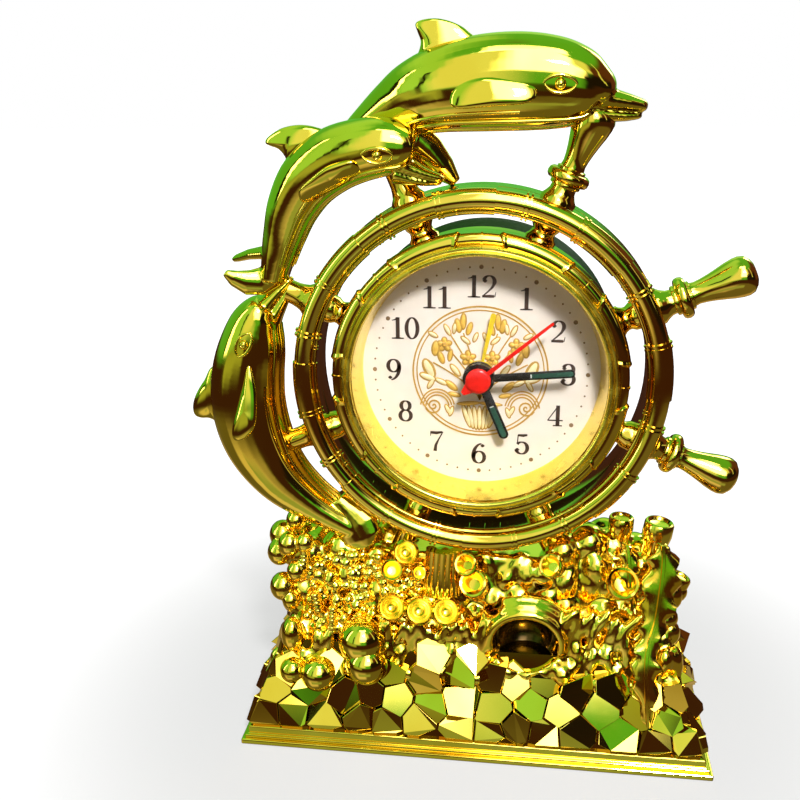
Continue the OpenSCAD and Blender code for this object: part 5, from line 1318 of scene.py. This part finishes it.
# Movement and screws
# The quartz movement is a black plastic case with white wheels and plates, a copper coil, a board and a cell.
# Its knobs, slider and cell door show at the back.
# Bright screws hold the case, the helm and the bottom cover.


def coat(finish, *nodes):
    """Gives pieces that keep their plain shape a finish."""
    for node in nodes:
        finish_piece(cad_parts[node], finish)


coat(mottled("black_moulding", (0.014, 0.014, 0.015), (0.024, 0.024, 0.026), scale=900.0, rough=0.62,
             shine=0.18),
     "movement_case", "movement_cover", "buzzer")
coat(mottled("black_door", (0.035, 0.035, 0.037), (0.055, 0.055, 0.058), scale=1400.0, rough=0.7, shine=0.18),
     "battery_door")
coat(mottled("black_knob", (0.11, 0.11, 0.115), (0.08, 0.08, 0.085), scale=600.0, rough=0.5, shine=0.25),
     "time_set_knob", "alarm_set_knob")
coat(mottled("white_moulding", (0.82, 0.81, 0.77), (0.76, 0.75, 0.70), scale=500.0, rough=0.45), "mid_plate",
     "rear_plate", "alarm_wheel", "hour_wheel", "minute_wheel", "centre_wheel", "second_wheel", "third_wheel",
     "intermediate_wheel", "alarm_slider")
coat(plating("bright_steel", (0.74, 0.74, 0.76), (0.60, 0.60, 0.62), rough=0.24, peel=0.02), "cover_screws",
     "helm_screws", "case_screws", "stator", "rotor", "positive_contact", "negative_contact", "cannon_pinion")
coat(mottled("copper_wire", (0.55, 0.22, 0.07), (0.42, 0.15, 0.045), scale=2500.0, rough=0.3), "coil")
coat(mottled("green_board", (0.03, 0.20, 0.06), (0.02, 0.14, 0.045), scale=700.0, rough=0.35),
     "circuit_board")
coat(mottled("cell_film", (0.55, 0.09, 0.05), (0.40, 0.06, 0.035), scale=120.0, rough=0.25), "cell")

# Stage
# A plain pale floor and a white surround, with one soft lamp above the front.
# A dome that shows only in reflections stands for the room: green walls, a white window, dark furniture.
DOME_R, DOME_Z = 0.9, 0.09
GREEN, LIME, LEMON, WINDOW = (0.13, 0.60, 0.08), (0.42, 0.98, 0.28), (0.95, 1.15, 0.7), (6.0, 6.2, 6.6)
BARK, BLACK, UMBER = (0.12, 0.045, 0.03), (0.014, 0.010, 0.010), (0.05, 0.02, 0.012)
MOSS, EARTH, STRAW = (0.42, 0.55, 0.16), (0.16, 0.15, 0.06), (0.5, 0.4, 0.2)
FLOOR_BRIGHT, OLIVE = (0.80, 0.74, 0.55), (0.34, 0.46, 0.22)
# azimuth (0 in front, 90 to the right), elevation, full width, full height, softness in degrees, and colour
PATCHES = ((180, 40, 360, 100, 8, GREEN), (95, 14, 110, 60, 8, BARK), (165, 26, 50, 26, 5, LIME),
           (150, 30, 12, 20, 3, WINDOW), (-110, 60, 120, 30, 10, LIME), (-40, 28, 44, 62, 10, LIME),
           (-14, 30, 26, 60, 6, LEMON), (14, 40, 34, 52, 4, WINDOW), (12, 66, 70, 8, 3, WINDOW),
           (62, 2, 76, 44, 6, BLACK), (38, 38, 16, 22, 5, LEMON), (-34, 12, 5, 36, 2, BLACK),
           (-66, 22, 6, 44, 2, WINDOW), (-74, 22, 8, 44, 2, BLACK), (70, 30, 5, 40, 2, LEMON),
           (0, -14, 360, 24, 4, UMBER), (-40, -6, 44, 10, 4, MOSS), (0, -64, 360, 84, 4, EARTH),
           (-28, -44, 56, 32, 8, FLOOR_BRIGHT), (-8, -39, 62, 14, 4, OLIVE), (180, -44, 120, 32, 8, STRAW))
FLOOR_SIZE, FLOOR_Y, FLOOR_Z, FLOOR_NEAR, FLOOR_FAR = 3.0, 0.6, -0.0002, 0.06, 0.17
FLOOR_GLOW, FLOOR_ROUGH = 1.3, 0.9
FLOOR_GREY, FLOOR_BOUNCE, AMBIENT = (0.5, 0.5, 0.5, 1), (0.14, 0.085, 0.02, 1), (0.034, 0.022, 0.004, 1)
KEY_POWER, KEY_SIZE, KEY_PLACE, KEY_AIM = 3.1, 0.07, (0.13, -0.42, 0.46), (0, 0, 0.09)
YAW, PITCH, ROLL, LENS_MM, SENSOR_MM, EYE_PLACE = 0.142, 0.332, -0.014, 45.0, 36.0, (12.45, -218.8, 157.5)
MIX_FIRST, MIX_SECOND, MIX_RESULT = 6, 7, 2


def math_node(tree, operation, *values):
    """One step of arithmetic on outputs or numbers."""
    return shader_node(tree, "Math", dict(enumerate(values)), operation=operation).outputs[0]


def vector_node(tree, operation, output, *values):
    """One step of arithmetic on vectors."""
    return shader_node(tree, "VectorMath", dict(enumerate(values)), operation=operation).outputs[output]


def mixed(tree, share, first, second):
    """A mix of two colours."""
    values = {"Factor": share, MIX_FIRST: first, MIX_SECOND: second}
    return shader_node(tree, "Mix", values, data_type="RGBA").outputs[MIX_RESULT]


def fade(tree, value, outer, inner):
    """A soft step that is 0 at the outer value and 1 at the inner one."""
    values = {"Value": value, "From Min": outer, "From Max": inner}
    return shader_node(tree, "MapRange", values, interpolation_type="SMOOTHSTEP").outputs["Result"]


fresh()
bpy.ops.mesh.primitive_uv_sphere_add(segments=48, ring_count=24, radius=DOME_R, location=(0, 0, DOME_Z))
dome = settle(bpy.context.object, "room_dome")
room = bpy.data.materials.new("room")
room.use_nodes = True
room_tree = room.node_tree
room_tree.nodes.clear()
place = shader_node(room_tree, "TexCoord").outputs["Object"]
ray = vector_node(room_tree, "NORMALIZE", 0, vector_node(room_tree, "SUBTRACT", 0, place, (0, 0, DOME_Z)))
up_share = shader_node(room_tree, "SeparateXYZ", {0: ray}).outputs["Z"]
height = math_node(room_tree, "MULTIPLY", math_node(room_tree, "ARCSINE", up_share), math.degrees(1))
layer = (*BARK, 1)
for azimuth, elevation, wide, high, soft, colour in PATCHES:
    a = math.radians(azimuth)
    sideways = vector_node(room_tree, "DOT_PRODUCT", "Value", ray, (math.cos(a), math.sin(a), 0))
    onwards = vector_node(room_tree, "DOT_PRODUCT", "Value", ray, (math.sin(a), -math.cos(a), 0))
    bearing = math_node(room_tree, "ARCTAN2", sideways, onwards)
    aside = math_node(room_tree, "ABSOLUTE", math_node(room_tree, "MULTIPLY", bearing, math.degrees(1)))
    above = math_node(room_tree, "ABSOLUTE", math_node(room_tree, "SUBTRACT", height, elevation))
    share = fade(room_tree, above, high / 2 + soft, high / 2 - soft)
    if wide < 360:
        beside = fade(room_tree, aside, wide / 2 + soft, wide / 2 - soft)
        share = math_node(room_tree, "MULTIPLY", share, beside)
    layer = mixed(room_tree, share, layer, (*colour, 1))
first_bounce = shader_node(room_tree, "LightPath").outputs["Diffuse Depth"]
glow = {"Color": layer, "Strength": math_node(room_tree, "LESS_THAN", first_bounce, 0.5)}
room_light = shader_node(room_tree, "Emission", glow).outputs[0]
shader_node(room_tree, "OutputMaterial", {"Surface": room_light})
dome.data.materials.append(room)
dome.visible_camera = dome.visible_diffuse = dome.visible_transmission = dome.visible_shadow = False

fresh()
bpy.ops.mesh.primitive_plane_add(size=FLOOR_SIZE, location=(0, FLOOR_Y, FLOOR_Z))
floor = settle(bpy.context.object, "floor")
floor_finish, floor_tree, floor_paint = new_finish("floor_white")
seen = shader_node(floor_tree, "LightPath").outputs["Is Camera Ray"]
floor_colour = mixed(floor_tree, seen, FLOOR_BOUNCE, FLOOR_GREY)
feed(floor_tree, floor_paint, {"Base Color": floor_colour, "Roughness": FLOOR_ROUGH})
spot = shader_node(floor_tree, "TexCoord").outputs["Object"]
far_share = fade(floor_tree, vector_node(floor_tree, "LENGTH", "Value", spot), FLOOR_NEAR, FLOOR_FAR)
glow_share = math_node(floor_tree, "ADD", math_node(floor_tree, "MULTIPLY", far_share, 0.5), 0.5)
plain_white = shader_node(floor_tree, "Emission", {"Strength": FLOOR_GLOW}).outputs[0]
blend = shader_node(floor_tree, "MixShader", {
    0: math_node(floor_tree, "MULTIPLY", seen, glow_share), 1: floor_paint.outputs[0], 2: plain_white})
feed(floor_tree, floor_tree.nodes["Material Output"], {"Surface": blend.outputs[0]})
floor.data.materials.append(floor_finish)
floor.visible_glossy = False

scene = bpy.context.scene
world = bpy.data.worlds.new("surround")
scene.world = world
world.use_nodes = True
tree = world.node_tree
tree.nodes.clear()
path = shader_node(tree, "LightPath").outputs
shown = math_node(tree, "MAXIMUM", path["Is Camera Ray"], path["Is Glossy Ray"])
shown = math_node(tree, "MAXIMUM", shown, path["Is Transmission Ray"])
mirrored = math_node(tree, "LESS_THAN", path["Diffuse Depth"], 0.5)
surround = mixed(tree, math_node(tree, "MULTIPLY", shown, mirrored), AMBIENT, (1, 1, 1, 1))
white = shader_node(tree, "Background", {"Color": surround}).outputs["Background"]
shader_node(tree, "OutputWorld", {"Surface": white})

key_data = bpy.data.lights.new("key", "AREA")
key_data.energy = KEY_POWER
key_data.size = KEY_SIZE
key = bpy.data.objects.new("key", key_data)
bpy.context.collection.objects.link(key)
key.location = KEY_PLACE
key.rotation_euler = (Vector(KEY_AIM) - key.location).to_track_quat("-Z", "Y").to_euler()

camera_data = bpy.data.cameras.new("camera")
camera_data.sensor_width = SENSOR_MM
camera_data.lens = LENS_MM
camera_data.clip_start = 0.01
camera = bpy.data.objects.new("camera", camera_data)
bpy.context.collection.objects.link(camera)
back = Vector((math.sin(YAW) * math.cos(PITCH), -math.cos(YAW) * math.cos(PITCH), math.sin(PITCH)))
right = Vector((0, 0, 1)).cross(back).normalized()
up = back.cross(right)
right, up = (math.cos(ROLL) * right + math.sin(ROLL) * up, -math.sin(ROLL) * right + math.cos(ROLL) * up)
camera.matrix_world = (Matrix.Translation([c * MM for c in EYE_PLACE])
                       @ Matrix((right, up, back)).transposed().to_4x4())
scene.camera = camera
scene.view_settings.view_transform = "Standard"
